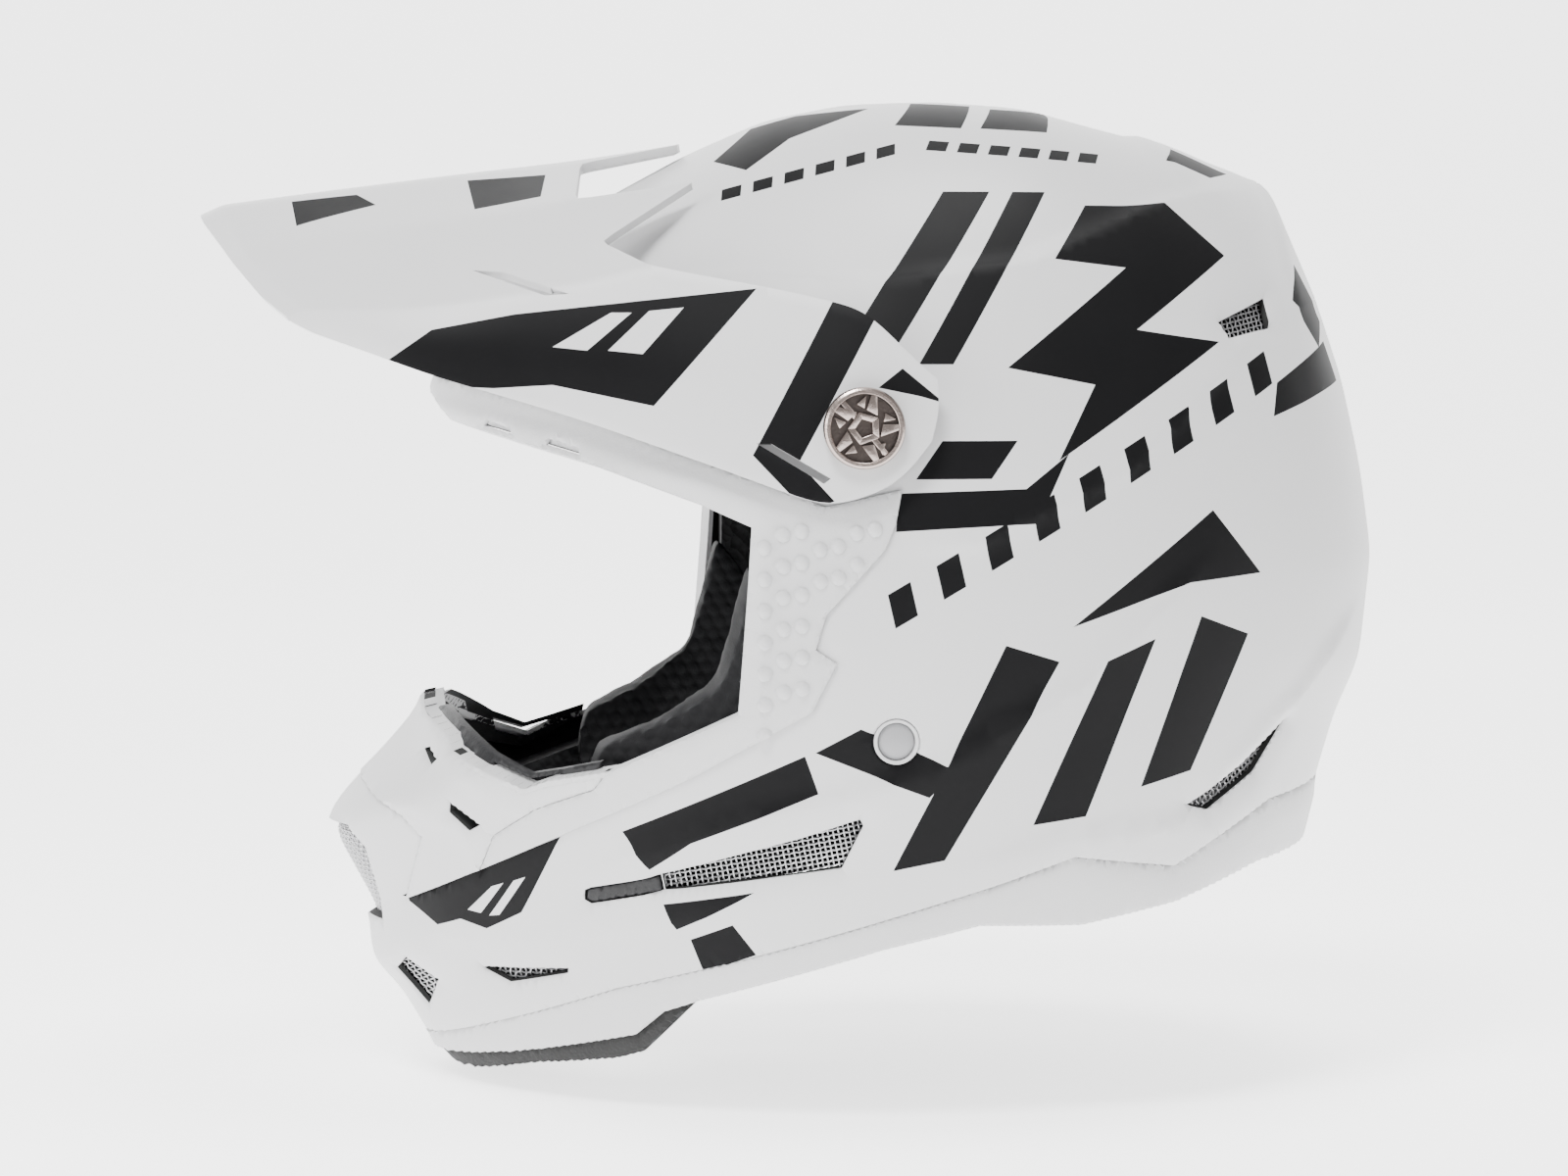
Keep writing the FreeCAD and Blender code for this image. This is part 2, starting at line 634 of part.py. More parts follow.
def curve_through(path, steps=4):
    """Catmull-Rom points through a path, so that a strap's bends are even."""
    padded = [path[0], *path, path[-1]]
    found = []
    for p0, p1, p2, p3 in zip(padded, padded[1:], padded[2:], padded[3:]):
        for k in range(steps):
            t = k / steps
            found.append(
                tuple(
                    0.5 * (2 * b + (c - a) * t + (2 * a - 5 * b + 4 * c - d) * t * t
                           + (3 * b - a - 3 * c + d) * t ** 3)
                    for a, b, c, d in zip(p0, p1, p2, p3)
                )
            )
    return [*found, path[-1]]


STRAP_FOLD = [(69.0, -48), (69.0, -42), (68.3, -39.0), (66.6, -37.8), (64.9, -39.0), (64.2, -42), (64.2, -48),
              (63.8, -56), (62.8, -64), (61.8, -70)]
RING_BAR = (69.0, -42.2)  # (X, Z) of the lower ring's bar


def slot_profile(radius):
    """A stadium round both ring bars, extruded over the strap's width."""
    x, z = RING_BAR
    start = dim("rivet_back") - dim("strap_width") / 2
    across = Vector(0, dim("strap_width"), 0)
    low = Part.makeCylinder(radius, across.y, Vector(x, start, z), Vector(0, 1, 0))
    high = Part.makeCylinder(radius, across.y, Vector(x, start, z + dim("ring_pitch")), Vector(0, 1, 0))
    box = Part.makeBox(2 * radius, across.y, dim("ring_pitch"), Vector(x - radius, start, z))
    return low.fuse([high, box])


def make_straps():
    width, thickness = dim("strap_width"), dim("strap_thickness")
    wire = dim("ring_wire_radius")
    hole = rivet_cylinder(2.3, 110, 130)
    band = strap_solid(curve_through(STRAP_PATH), width, thickness).cut(hole)
    loop = slot_profile(wire + 0.4 + thickness).cut(slot_profile(wire + 0.4))
    freeform("chin_strap_left", band.cut(slot_profile(wire + 0.4)).fuse(loop).removeSplitter())
    free_end = strap_solid(curve_through(STRAP_PATH[:-1] + STRAP_FOLD), width, thickness)
    freeform("chin_strap_right", mirrored(free_end.cut(hole)))
    snap = Part.makeCylinder(5.5, 2.0, Vector(59.4, dim("rivet_back"), -59), Vector(1, 0, 0))
    freeform("strap_snap", mirrored(snap))


def ring_solid(bar, tilt):
    """A D-ring: a bar along Y and a half round bend that hangs at a tilt from straight down."""
    wire, bend = dim("ring_wire_radius"), dim("ring_bend_radius")
    centre = Vector(bar[0], dim("rivet_back"), bar[1])
    arc = Part.makeTorus(bend, wire, Vector(0, 0, 0), Vector(0, 0, 1), 0, 360, 180)
    rod = Part.makeCylinder(wire, 2 * bend, Vector(-bend, 0, 0), Vector(1, 0, 0))
    ends = [Part.makeSphere(wire, Vector(s * bend, 0, 0)) for s in (1, -1)]
    ring = rod.fuse([arc, *ends])
    # local X becomes world Y, local Y points down and inwards
    down = Vector(-math.sin(math.radians(tilt)), 0, -math.cos(math.radians(tilt)))
    across = Vector(0, 1, 0)
    normal = across.cross(down)
    ring.Placement = FreeCAD.Placement(centre, Rotation(across, down, normal, "XYZ"))
    return ring


INNER_RING_TILT = 28.0
OUTER_RING_TILT = 66.0


def make_rings():
    x, z = RING_BAR
    freeform("d_ring_inner", ring_solid((x, z), INNER_RING_TILT))
    freeform("d_ring_outer", ring_solid((x, z + dim("ring_pitch")), OUTER_RING_TILT))


def make_rivets():
    """Strap rivets: a domed head in a cup outside, and a shank through shell and strap anchor."""
    for side, name in ((1, "left"), (-1, "right")):
        surface = envelope_x(dim("rivet_back"), dim("rivet_up"))
        cup = rivet_cylinder(dim("rivet_cup_radius"), surface - 3.4, surface + 0.3)
        cup = cup.cut(rivet_cylinder(dim("rivet_head_radius") + 0.2, surface - 2.4, surface + 5))
        head = rivet_cylinder(dim("rivet_head_radius"), surface - 2.3, surface - 0.6)
        cup_hole = rivet_cylinder(2.2, 90, 150)
        shank = rivet_cylinder(2.1, surface - 9.4, surface - 1.0)
        flat = rivet_cylinder(5.0, surface - 10.6, surface - 9.4)
        rivet = head.fuse([shank, flat])
        ring = cup.cut(cup_hole)
        freeform(f"rivet_cup_{name}", ring if side > 0 else mirrored(ring))
        freeform(f"strap_rivet_{name}", rivet if side > 0 else mirrored(rivet))


# ---------------------------------------------------------------------------- dampers


DAMPER_PLACES = [  # (angle round the side view, rise from the temple), in degrees, left side
    (20, 35), (60, 35), (100, 35), (140, 35), (35, 62), (75, 62), (110, 62), (142, 62), (5, 62),
]


def make_dampers():
    """Hourglass dampers that hold the inner foam liner inside the outer one."""
    radius, height = dim("damper_radius"), dim("damper_gap") - 2 * dim("damper_clearance")
    waist = radius * 0.6
    profile = [
        Vector(0, 0, -height / 2), Vector(radius, 0, -height / 2), Vector(radius, 0, -height / 2 + 0.7),
        Vector(waist, 0, 0), Vector(radius, 0, height / 2 - 0.7), Vector(radius, 0, height / 2),
        Vector(0, 0, height / 2),
    ]
    blank = Part.Face(Part.makePolygon([*profile, profile[0]])).revolve(Vector(), Vector(0, 0, 1), 360)
    middle = foam_inside() + dim("damper_gap") / 2
    solids = []
    for angle, rise in DAMPER_PLACES:
        a, r = math.radians(angle), math.radians(rise)
        centre = envelope_point(a, r, middle)
        step = 0.02
        along = envelope_point(a + step, r, middle) - envelope_point(a - step, r, middle)
        upward = envelope_point(a, r + step, middle) - envelope_point(a, r - step, middle)
        facing = along.cross(upward).normalize()
        damper = blank.copy()
        damper.Placement = FreeCAD.Placement(centre, Rotation(Vector(0, 0, 1), facing))
        solids += [damper, mirrored(damper)]
    freeform("liner_dampers", Part.makeCompound(solids))


# ---------------------------------------------------------------------------- build and write


def check():
    for thing in DOC.Objects:
        if "Invalid" in thing.State or "Error" in thing.State:
            raise RuntimeError(f"{thing.Label} failed to compute: {thing.State}")
    for node in NODES:
        if node.Shape.isNull() or not node.Shape.isValid() or not node.Shape.Solids:
            raise RuntimeError(f"{node.Label} has no valid solid")


def write():
    os.makedirs("parts", exist_ok=True)
    for old in os.listdir("parts"):
        os.remove(os.path.join("parts", old))
    for node in NODES:
        node.Shape.exportStep(os.path.join("parts", node.Label + ".step"))


for step in (
    make_shell, make_bottom_trim, make_eyeport_trim, make_mouthpiece, make_nose_guard, make_meshes, make_foam,
    make_pads, make_visor, make_visor_fittings, make_straps, make_rings, make_rivets, make_dampers,
):
    step()
DOC.recompute()
check()
write()
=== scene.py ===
"""Looks of the motocross helmet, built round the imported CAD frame.

All outlines are in millimetres in the row's frame: +X the wearer's left, -Y the front, +Z up. Moulded layers
are slices of the same envelope as in the CAD, at a depth below the outside of the shell.
"""

import math

import bmesh
import bpy
import numpy as np
from mathutils import Matrix, Vector, geometry, kdtree


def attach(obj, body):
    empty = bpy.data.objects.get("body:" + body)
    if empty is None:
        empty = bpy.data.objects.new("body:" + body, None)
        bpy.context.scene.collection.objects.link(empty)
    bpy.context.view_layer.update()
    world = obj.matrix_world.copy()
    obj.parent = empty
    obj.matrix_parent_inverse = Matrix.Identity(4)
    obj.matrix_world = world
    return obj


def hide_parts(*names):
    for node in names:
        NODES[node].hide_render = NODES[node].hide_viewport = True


MM = 0.001
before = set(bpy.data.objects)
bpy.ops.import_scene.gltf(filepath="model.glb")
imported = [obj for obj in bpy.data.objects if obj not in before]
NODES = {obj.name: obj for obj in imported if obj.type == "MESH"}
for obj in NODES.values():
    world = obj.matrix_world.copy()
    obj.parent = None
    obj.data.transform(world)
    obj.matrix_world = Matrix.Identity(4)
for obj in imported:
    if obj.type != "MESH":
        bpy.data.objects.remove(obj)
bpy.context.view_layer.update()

# ------------------------------------------------------------------------------------------- envelope

HALF_WIDTH = 129.0
OUTLINE = [
    (-144, 62), (-135, 82), (-113, 105), (-88, 123), (-64, 136), (-39, 147), (-14, 152), (14, 153),
    (42, 151), (64, 145), (88, 139), (118, 128), (126, 110), (136, 88), (143, 67), (149, 40), (153, 12),
    (149, -22), (141, -39), (135, -59), (129, -84), (113, -130), (60, -205), (0, -226), (-64, -211),
    (-119, -167), (-143, -144), (-154, -125), (-165, -115), (-162, -104), (-180, -71), (-166, -58),
    (-145, -34), (-142, -12), (-140, 12), (-142, 40),
]
ANGLES = 720


def _radius_table():
    table = np.zeros(ANGLES)
    for i in range(ANGLES):
        a = 2 * math.pi * i / ANGLES
        c, s = math.cos(a), math.sin(a)
        for (y1, z1), (y2, z2) in zip(OUTLINE, OUTLINE[1:] + OUTLINE[:1]):
            dy, dz = y2 - y1, z2 - z1
            cross = c * dz - s * dy
            if abs(cross) < 1e-12:
                continue
            along, share = (y1 * dz - z1 * dy) / cross, (y1 * s - z1 * c) / cross
            if along > 0 and -1e-9 <= share <= 1 + 1e-9:
                table[i] = max(table[i], along)
    return table


def _rounded(table, degrees):
    reach = max(1, int(degrees / 360 * ANGLES))
    k = np.arange(-reach, reach + 1)
    w = np.exp(-0.5 * (2.2 * k / reach) ** 2)
    return sum(wi * np.roll(table, -ki) for wi, ki in zip(w, k)) / w.sum()


RAW = _radius_table()
SHARP, SOFT = _rounded(RAW, 3.5), _rounded(RAW, 40.0)


def look_up(table, angle):
    place = (np.degrees(angle) % 360) / 360 * ANGLES
    first = place.astype(int) % ANGLES
    share = place - place.astype(int)
    return table[first] * (1 - share) + table[(first + 1) % ANGLES] * share


def smooth01(t):
    t = np.clip(t, 0, 1)
    return t * t * (3 - 2 * t)


def envelope(angle, rise, depth=0.0):
    """Points of the left half of the envelope, as an (n, 3) array."""
    share = smooth01((np.degrees(rise) - 25) / 65)
    radius = look_up(SOFT, angle) * (1 - share) + look_up(SHARP, angle) * share - depth
    strength = 0.28 * np.clip((np.degrees(rise) - 8) / 30, 0, 1)
    power = 1 + strength * np.exp(-(((np.degrees(angle) % 360 - 205) / 38) ** 2))
    across = (HALF_WIDTH - depth) * np.maximum(0, np.cos(rise)) ** power
    out = radius * np.sin(rise)
    return np.stack([across, out * np.cos(angle), out * np.sin(angle)], axis=-1)


def to_disc(yz):
    """Side-view points to the disc in which sheets are cut: radius is the rise, angle the view's angle."""
    yz = np.asarray(yz, float)
    angle, radius = np.arctan2(yz[:, 1], yz[:, 0]), np.hypot(yz[:, 0], yz[:, 1])
    low, high = np.zeros(len(yz)), np.full(len(yz), math.pi / 2)
    for _ in range(34):
        middle = (low + high) / 2
        p = envelope(angle, middle)
        small = np.hypot(p[:, 1], p[:, 2]) < radius
        low, high = np.where(small, middle, low), np.where(small, high, middle)
    edge = look_up(SHARP, angle)
    rise = np.where(radius > edge, math.pi / 2 + (radius - edge) / 110, low)
    return np.stack([rise * np.cos(angle), rise * np.sin(angle)], axis=-1)


def from_disc(q):
    q = np.asarray(q, float)
    rise = np.hypot(q[:, 0], q[:, 1])
    rise = np.where(rise > math.pi / 2 - 2e-4, math.pi / 2, rise)
    return np.arctan2(q[:, 1], q[:, 0]), rise


def side_x(y, z, depth=0.0):
    """Half-width of the envelope at a side-view place."""
    angle, rise = from_disc(to_disc([(y, z)]))
    return float(envelope(angle, rise, depth)[0, 0])


# ------------------------------------------------------------------------------------------- outlines


def inside(points, outline):
    """Which (y, z) points lie in a closed outline."""
    y, z = points[:, 0], points[:, 1]
    hit = np.zeros(len(points), bool)
    for (y1, z1), (y2, z2) in zip(outline, [*outline[1:], outline[0]]):
        crosses = (z1 > z) != (z2 > z)
        with np.errstate(divide="ignore", invalid="ignore"):
            at = (y2 - y1) * (z - z1) / (z2 - z1) + y1
        hit ^= crosses & (y < at)
    return hit


def spaced(outline, step, closed=True):
    ends = [*outline[1:], outline[0]] if closed else outline[1:]
    found = []
    for (y1, z1), (y2, z2) in zip(outline, ends):
        n = max(1, round(math.hypot(y2 - y1, z2 - z1) / step))
        found += [(y1 + (y2 - y1) * k / n, z1 + (z2 - z1) * k / n) for k in range(n)]
    return found if closed else [*found, outline[-1]]


def distance_to(points, line):
    """Signed distance from (y, z) points to an open line, positive to its left, and the share along it."""
    best = np.full(len(points), 1e9)
    sign = np.ones(len(points))
    share = np.zeros(len(points))
    total = sum(math.dist(a, b) for a, b in zip(line, line[1:]))
    run = 0.0
    for (y1, z1), (y2, z2) in zip(line, line[1:]):
        d = np.array([y2 - y1, z2 - z1], float)
        length = math.hypot(*d)
        rel = points - np.array([y1, z1])
        t = np.clip(rel @ d / length**2, 0, 1)
        off = rel - t[:, None] * d
        dist = np.hypot(off[:, 0], off[:, 1])
        closer = dist < best
        best = np.where(closer, dist, best)
        sign = np.where(closer, np.sign(d[0] * rel[:, 1] - d[1] * rel[:, 0] + 1e-12), sign)
        share = np.where(closer, (run + t * length) / total, share)
        run += length
    return best * sign, share


# ------------------------------------------------------------------------------------------- materials


def material(name, color, roughness, metallic=0.0, bump=0.0, scale=400.0, vary=0.05, kind="noise", coat=0.0,
             sheen=0.0, distance=0.0004, gloss=0.5):
    """A node material: colour and roughness vary with fine noise, and a pattern raises the surface."""
    m = bpy.data.materials.new(name)
    m.use_nodes = True
    t = m.node_tree
    p = t.nodes["Principled BSDF"]
    p.inputs["Metallic"].default_value = metallic
    p.inputs["Specular IOR Level"].default_value = gloss
    if coat:
        p.inputs["Coat Weight"].default_value = coat
        p.inputs["Coat Roughness"].default_value = 0.18
    if sheen:
        p.inputs["Sheen Weight"].default_value = sheen
    place = t.nodes.new("ShaderNodeTexCoord")
    noise = t.nodes.new("ShaderNodeTexNoise")
    noise.inputs["Scale"].default_value = 38.0
    noise.inputs["Detail"].default_value = 6.0
    t.links.new(place.outputs["Object"], noise.inputs["Vector"])
    ramp = t.nodes.new("ShaderNodeValToRGB")
    ramp.color_ramp.elements[0].color = [c * (1 - vary) for c in color] + [1]
    ramp.color_ramp.elements[1].color = [min(1, c * (1 + vary)) for c in color] + [1]
    t.links.new(noise.outputs["Fac"], ramp.inputs["Fac"])
    t.links.new(ramp.outputs["Color"], p.inputs["Base Color"])
    rough = t.nodes.new("ShaderNodeMapRange")
    rough.inputs["To Min"].default_value = roughness * 0.88
    rough.inputs["To Max"].default_value = roughness * 1.12
    t.links.new(noise.outputs["Fac"], rough.inputs["Value"])
    t.links.new(rough.outputs["Result"], p.inputs["Roughness"])
    if bump:
        if kind == "beads":
            pattern = t.nodes.new("ShaderNodeTexVoronoi")
            out = pattern.outputs["Distance"]
        elif kind == "weave":
            pattern = t.nodes.new("ShaderNodeTexBrick")
            pattern.inputs["Mortar Size"].default_value = 0.06
            pattern.inputs["Mortar Smooth"].default_value = 1.0
            out = pattern.outputs["Fac"]
        else:
            pattern = t.nodes.new("ShaderNodeTexNoise")
            out = pattern.outputs["Fac"]
        pattern.inputs["Scale"].default_value = scale
        t.links.new(place.outputs["Object"], pattern.inputs["Vector"])
        b = t.nodes.new("ShaderNodeBump")
        b.inputs["Strength"].default_value = bump
        b.inputs["Distance"].default_value = distance
        t.links.new(out, b.inputs["Height"])
        t.links.new(b.outputs["Normal"], p.inputs["Normal"])
    return m


WHITE = material("white_paint", (0.60, 0.60, 0.605), 0.42, bump=0.10, scale=900, vary=0.012,
                 distance=0.0001, gloss=0.42)
BLACK = material("black_paint", (0.004, 0.004, 0.0045), 0.5, bump=0.10, scale=900, vary=0.10,
                 distance=0.0001, gloss=0.1)
TRIM_WHITE = material("white_trim", (0.57, 0.57, 0.575), 0.5, bump=0.2, scale=1500, vary=0.015)
TRIM_BLACK = material("black_trim", (0.012, 0.012, 0.013), 0.45, bump=0.25, scale=1400, vary=0.12, gloss=0.3)
WIRE = material("vent_wire", (0.50, 0.50, 0.51), 0.33, metallic=0.9, bump=0.1, scale=900, vary=0.1)
# Near-black painted shade: stands in for the darkness inside openings, on the inner skins and hole rims of
# the shell and mouthpiece
PAINTED_SHADE = material("painted_vent_shade", (0.006, 0.006, 0.006), 0.8, vary=0.2)
BEADS = material("bead_foam", (0.014, 0.014, 0.015), 0.7, bump=0.8, scale=330, vary=0.2, kind="beads",
                 distance=0.0012, gloss=0.2)
FABRIC = material("pad_fabric", (0.022, 0.022, 0.024), 0.82, bump=0.5, scale=1300, vary=0.25,
                  sheen=0.05, gloss=0.15)
QUILT = material("quilted_leather", (0.012, 0.012, 0.013), 0.7, bump=0.3, scale=1600, vary=0.2, gloss=0.12)
FOAM = material("open_foam", (0.013, 0.013, 0.013), 0.85, bump=0.9, scale=900, vary=0.25)
WEBBING = material("webbing", (0.018, 0.018, 0.019), 0.75, bump=0.9, scale=700, vary=0.3, kind="weave")
STEEL = material("ring_steel", (0.56, 0.56, 0.57), 0.22, metallic=1.0, bump=0.05, scale=700)
BRONZE = material("screw_metal", (0.42, 0.35, 0.32), 0.27, metallic=1.0, bump=0.14, scale=1100, vary=0.12)
# Darker copy of the screw metal: painted shade in the recessed dish of the pivot screws
BRONZE_PAINTED_SHADE = material("screw_recess_painted_shade", (0.075, 0.062, 0.057), 0.42, metallic=1.0, bump=0.3, scale=1100)
GREY = material("grey_plastic", (0.30, 0.30, 0.31), 0.35, bump=0.15, scale=1100)
RUBBER = material("rubber", (0.018, 0.018, 0.018), 0.62, bump=0.35, scale=1300, vary=0.2)

# ------------------------------------------------------------------------------------------- mesh makers


def mesh_object(name, points, faces, mats, index=None, sharp=38):
    """A mesh from millimetre points, shaded smooth with sharp edges above an angle."""
    me = bpy.data.meshes.new(name)
    me.from_pydata([tuple(p) for p in np.asarray(points, float) * MM], [], [tuple(f) for f in faces])
    for m in mats:
        me.materials.append(m)
    if index is not None:
        me.polygons.foreach_set("material_index", np.asarray(index, np.int32))
    me.polygons.foreach_set("use_smooth", [True] * len(me.polygons))
    if sharp:
        me.set_sharp_from_angle(angle=math.radians(sharp))
    me.update()
    o = bpy.data.objects.new(name, me)
    bpy.context.scene.collection.objects.link(o)
    return o


def settle(o, body, slot, *nodes):
    """Places a piece in the assembly: its body and the CAD nodes it stands for; the material slot is not
    used.
    """
    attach(o, body)
    if nodes:
        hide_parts(*nodes)
    return o


def cut_disc(region, holes, lines, paints, step, edge_rows):
    """Triangles of the part of the disc inside region and outside holes; edges follow every outline."""
    points, edges = [], []

    def add(outline, closed, gap):
        q = to_disc(spaced(outline, gap, closed))
        start = len(points)
        points.extend(map(tuple, q))
        n = len(q)
        edges.extend((start + k, start + k + 1) for k in range(n - 1))
        if closed:
            edges.append((start + n - 1, start))
        return q

    rim = 2 * math.pi * np.arange(340) / 340
    start = len(points)
    points.extend((math.pi / 2 * math.cos(a), math.pi / 2 * math.sin(a)) for a in rim)
    edges.extend((start + k, start + (k + 1) % 340) for k in range(340))
    for outline in [region, *holes, *(p for _, p in paints)]:
        add(outline, True, 2.4)
    for line in lines:
        add(line, False, 2.4)
    tree = kdtree.KDTree(len(points))
    for k, (a, b) in enumerate(points):
        tree.insert((a, b, 0), k)
    tree.balance()
    rows = []
    for outline in [region, *holes]:
        near = spaced(outline, 2.4)
        for (y1, z1), (y2, z2) in zip(near, near[1:] + near[:1]):
            length = math.hypot(y2 - y1, z2 - z1) or 1
            ny, nz = -(z2 - z1) / length, (y2 - y1) / length
            for off in edge_rows:
                rows += [((y1 + y2) / 2 + off * s * ny, (z1 + z2) / 2 + off * s * nz) for s in (1, -1)]
    if rows:
        q = to_disc(rows)
        q = q[np.hypot(q[:, 0], q[:, 1]) < math.pi / 2 - 0.002]
        points.extend(map(tuple, q))
    box = to_disc(spaced(region, 6.0))
    low, high = box.min(axis=0), box.max(axis=0)
    low, high = np.maximum(low, -math.pi / 2), np.minimum(high, math.pi / 2)
    pitch = step / 140
    grid = []
    b, odd = low[1], 0
    while b < high[1]:
        a = low[0] + (pitch / 2 if odd else 0)
        while a < high[0]:
            if math.hypot(a, b) < math.pi / 2 - pitch * 0.5:
                _, _, away = tree.find((a, b, 0))
                if away > pitch * 0.45:
                    grid.append((a, b))
            a += pitch
        b += pitch * 0.866
        odd = 1 - odd
    points.extend(grid)
    vectors = [Vector(p) for p in points]
    verts, _, faces, *_ = geometry.delaunay_2d_cdt(vectors, edges, [], 0, 1e-6)
    q = np.array([tuple(v) for v in verts])
    tris = np.array([f for f in faces if len(f) == 3])
    centre = q[tris].mean(axis=1)
    angle, rise = from_disc(centre)
    flat = envelope(angle, rise)[:, 1:]
    keep = (np.hypot(centre[:, 0], centre[:, 1]) < math.pi / 2) & inside(flat, region)
    for hole in holes:
        keep &= ~inside(flat, hole)
    area = np.cross(q[tris[:, 1]] - q[tris[:, 0]], q[tris[:, 2]] - q[tris[:, 0]])
    keep &= np.abs(area) > 1e-10
    tris, flat = tris[keep], flat[keep]
    index = np.zeros(len(tris), int)
    for value, outline in paints:
        index[inside(flat, outline)] = value
    used = np.unique(tris)
    remap = np.full(len(q), -1)
    remap[used] = np.arange(len(used))
    return q[used], remap[tris], index


def moulded(name, region, holes=(), lines=(), paints=(), mats=(WHITE,), outer=0.0, inner=3.0, step=3.0,
            relief=None, rounding=0.8, sides="both", sharp=38, inner_mat=None):
    """A moulded layer of the envelope: an outer skin with relief, a plain inner skin and rounded rims."""
    q, tris, index = cut_disc(region, holes, lines, paints, step, (rounding * 0.35, rounding * 1.1))
    angle, rise = from_disc(q)
    base = envelope(angle, rise, 0.0)
    count = {}
    for t in tris:
        for a, b in ((t[0], t[1]), (t[1], t[2]), (t[2], t[0])):
            count[(a, b)] = 1
    border = [(a, b) for a, b in count if (b, a) not in count]
    seam = rise > math.pi / 2 - 1e-6
    border = [(a, b) for a, b in border if not (seam[a] and seam[b])]
    depth = np.full(len(q), float(outer))
    if relief is not None:
        depth = depth - relief(base[:, 1:], base[:, 0])
    if rounding:
        tree = kdtree.KDTree(2 * len(border) + 1)
        for a, b in border:
            tree.insert(base[a], a)
            tree.insert((base[a] + base[b]) / 2, b)
        tree.balance()
        away = np.array([tree.find(p)[2] for p in base]) if border else np.full(len(q), 9.0)
        s = np.clip(away, 0, rounding)
        depth = depth + rounding - np.sqrt(np.maximum(0, rounding**2 - (rounding - s) ** 2))
    skin = envelope(angle, rise, depth)
    back = envelope(angle, rise, float(inner))
    points, faces, mat = [], [], []

    def emit(side):
        start = len(points)
        flip = np.array([side, 1, 1])
        points.extend(skin * flip)
        points.extend(back * flip)
        n = len(q)
        return start, start + n

    order = (1, -1) if sides == "both" else ((1,) if sides == "left" else (-1,))
    starts = {side: emit(side) for side in order}
    merge = {}
    if sides == "both":
        for k in np.nonzero(seam)[0]:
            merge[starts[-1][0] + k] = starts[1][0] + k
            merge[starts[-1][1] + k] = starts[1][1] + k
    get = merge.get
    inner_index = 0 if inner_mat is None else inner_mat
    for side in order:
        top, under = starts[side]
        for t, value in zip(tris, index):
            tri = [get(top + v, top + v) for v in t]
            low = [get(under + v, under + v) for v in t]
            faces.append(tri[::-1] if side > 0 else tri)
            faces.append(low if side > 0 else low[::-1])
            mat += [value, inner_index]
        for a, b in border:
            quad = [get(top + a, top + a), get(top + b, top + b), get(under + b, under + b),
                    get(under + a, under + a)]
            faces.append(quad if side > 0 else quad[::-1])
            mat.append(inner_index)
    # drop points that merging left unused
    used = np.zeros(len(points), bool)
    for f in faces:
        for v in f:
            used[v] = True
    remap = np.cumsum(used) - 1
    points = np.array(points)[used]
    faces = [[int(remap[v]) for v in f] for f in faces]
    o = mesh_object(name, points, faces, mats, mat, sharp)
    bm = bmesh.new()
    bm.from_mesh(o.data)
    bmesh.ops.recalc_face_normals(bm, faces=bm.faces)
    bm.to_mesh(o.data)
    bm.free()
    return o


def tube(points, faces, path, radius, sides=5):
    """Adds a thin rod along a path of 3-D points."""
    path = np.asarray(path, float)
    along = np.gradient(path, axis=0)
    along /= np.linalg.norm(along, axis=1)[:, None] + 1e-12
    ref = np.array([0.0, 0.0, 1.0]) if abs(along[0][2]) < 0.9 else np.array([0.0, 1.0, 0.0])
    u = np.cross(along, ref)
    u /= np.linalg.norm(u, axis=1)[:, None] + 1e-12
    v = np.cross(along, u)
    start = len(points)
    for k in range(sides):
        a = 2 * math.pi * k / sides
        points.extend(path + radius * (math.cos(a) * u + math.sin(a) * v))
    n = len(path)
    for k in range(sides):
        j = (k + 1) % sides
        for i in range(n - 1):
            faces.append((start + k * n + i, start + j * n + i, start + j * n + i + 1, start + k * n + i + 1))
    faces.append([start + k * n for k in range(sides)])
    faces.append([start + k * n + n - 1 for k in range(sides)][::-1])


def lathe(name, profile, mats, place, axis, segments=72, index=None, sharp=30):
    """A turned piece: (radius, height) points round an axis."""
    points, faces, mat = [], [], []
    for k in range(segments):
        a = 2 * math.pi * k / segments
        points += [(r * math.cos(a), r * math.sin(a), h) for r, h in profile]
    n = len(profile)
    for k in range(segments):
        j = (k + 1) % segments
        for i in range(n - 1):
            faces.append((k * n + i, j * n + i, j * n + i + 1, k * n + i + 1))
            mat.append(index[i] if index else 0)
    turn = Vector((0, 0, 1)).rotation_difference(Vector(axis)).to_matrix()
    points = [tuple(turn @ Vector(p) + Vector(place)) for p in points]
    o = mesh_object(name, points, faces, mats, mat, sharp)
    bm = bmesh.new()
    bm.from_mesh(o.data)
    bmesh.ops.remove_doubles(bm, verts=bm.verts, dist=1e-6)
    bmesh.ops.recalc_face_normals(bm, faces=bm.faces)
    bm.to_mesh(o.data)
    bm.free()
    return o


# ------------------------------------------------------------------------------------------- regions

PANEL_LINE = [
    (-200, -139), (-146, -139), (-124, -129), (-89, -114), (-56, -104), (-30, -96), (2, -86), (44, -72),
    (76, -77), (109, -60), (135, -57), (200, -57),
]
LOWER_EDGE = [
    (-200, -144), (-144, -144), (-130, -141), (-111, -136), (-83, -128), (-75, -120), (-65, -116),
    (-12, -99), (16, -92), (47, -93), (77, -88), (105, -79), (130, -76), (200, -76),
]
EYEPORT = [
    (-200, 66), (-143, 62), (-137, 54), (-98, 43), (-67, 32), (-51, 25), (-52, 9), (-53, -4), (-55, -29),
    (-69, -36), (-91, -47), (-109, -51), (-116, -54), (-129, -49), (-137, -45), (-138, -41), (-145, -36),
    (-146, -31), (-200, -20),
]
SHELL_EYEPORT = [
    (-200, 68), (-143, 64), (-136, 56), (-97, 45), (-66, 34), (-49, 27), (-50, 9), (-51, -4), (-53, -30),
    (-68, -38), (-90, -49), (-108, -53), (-116, -56), (-130, -51), (-138, -47), (-147, -37), (-200, -26),
]
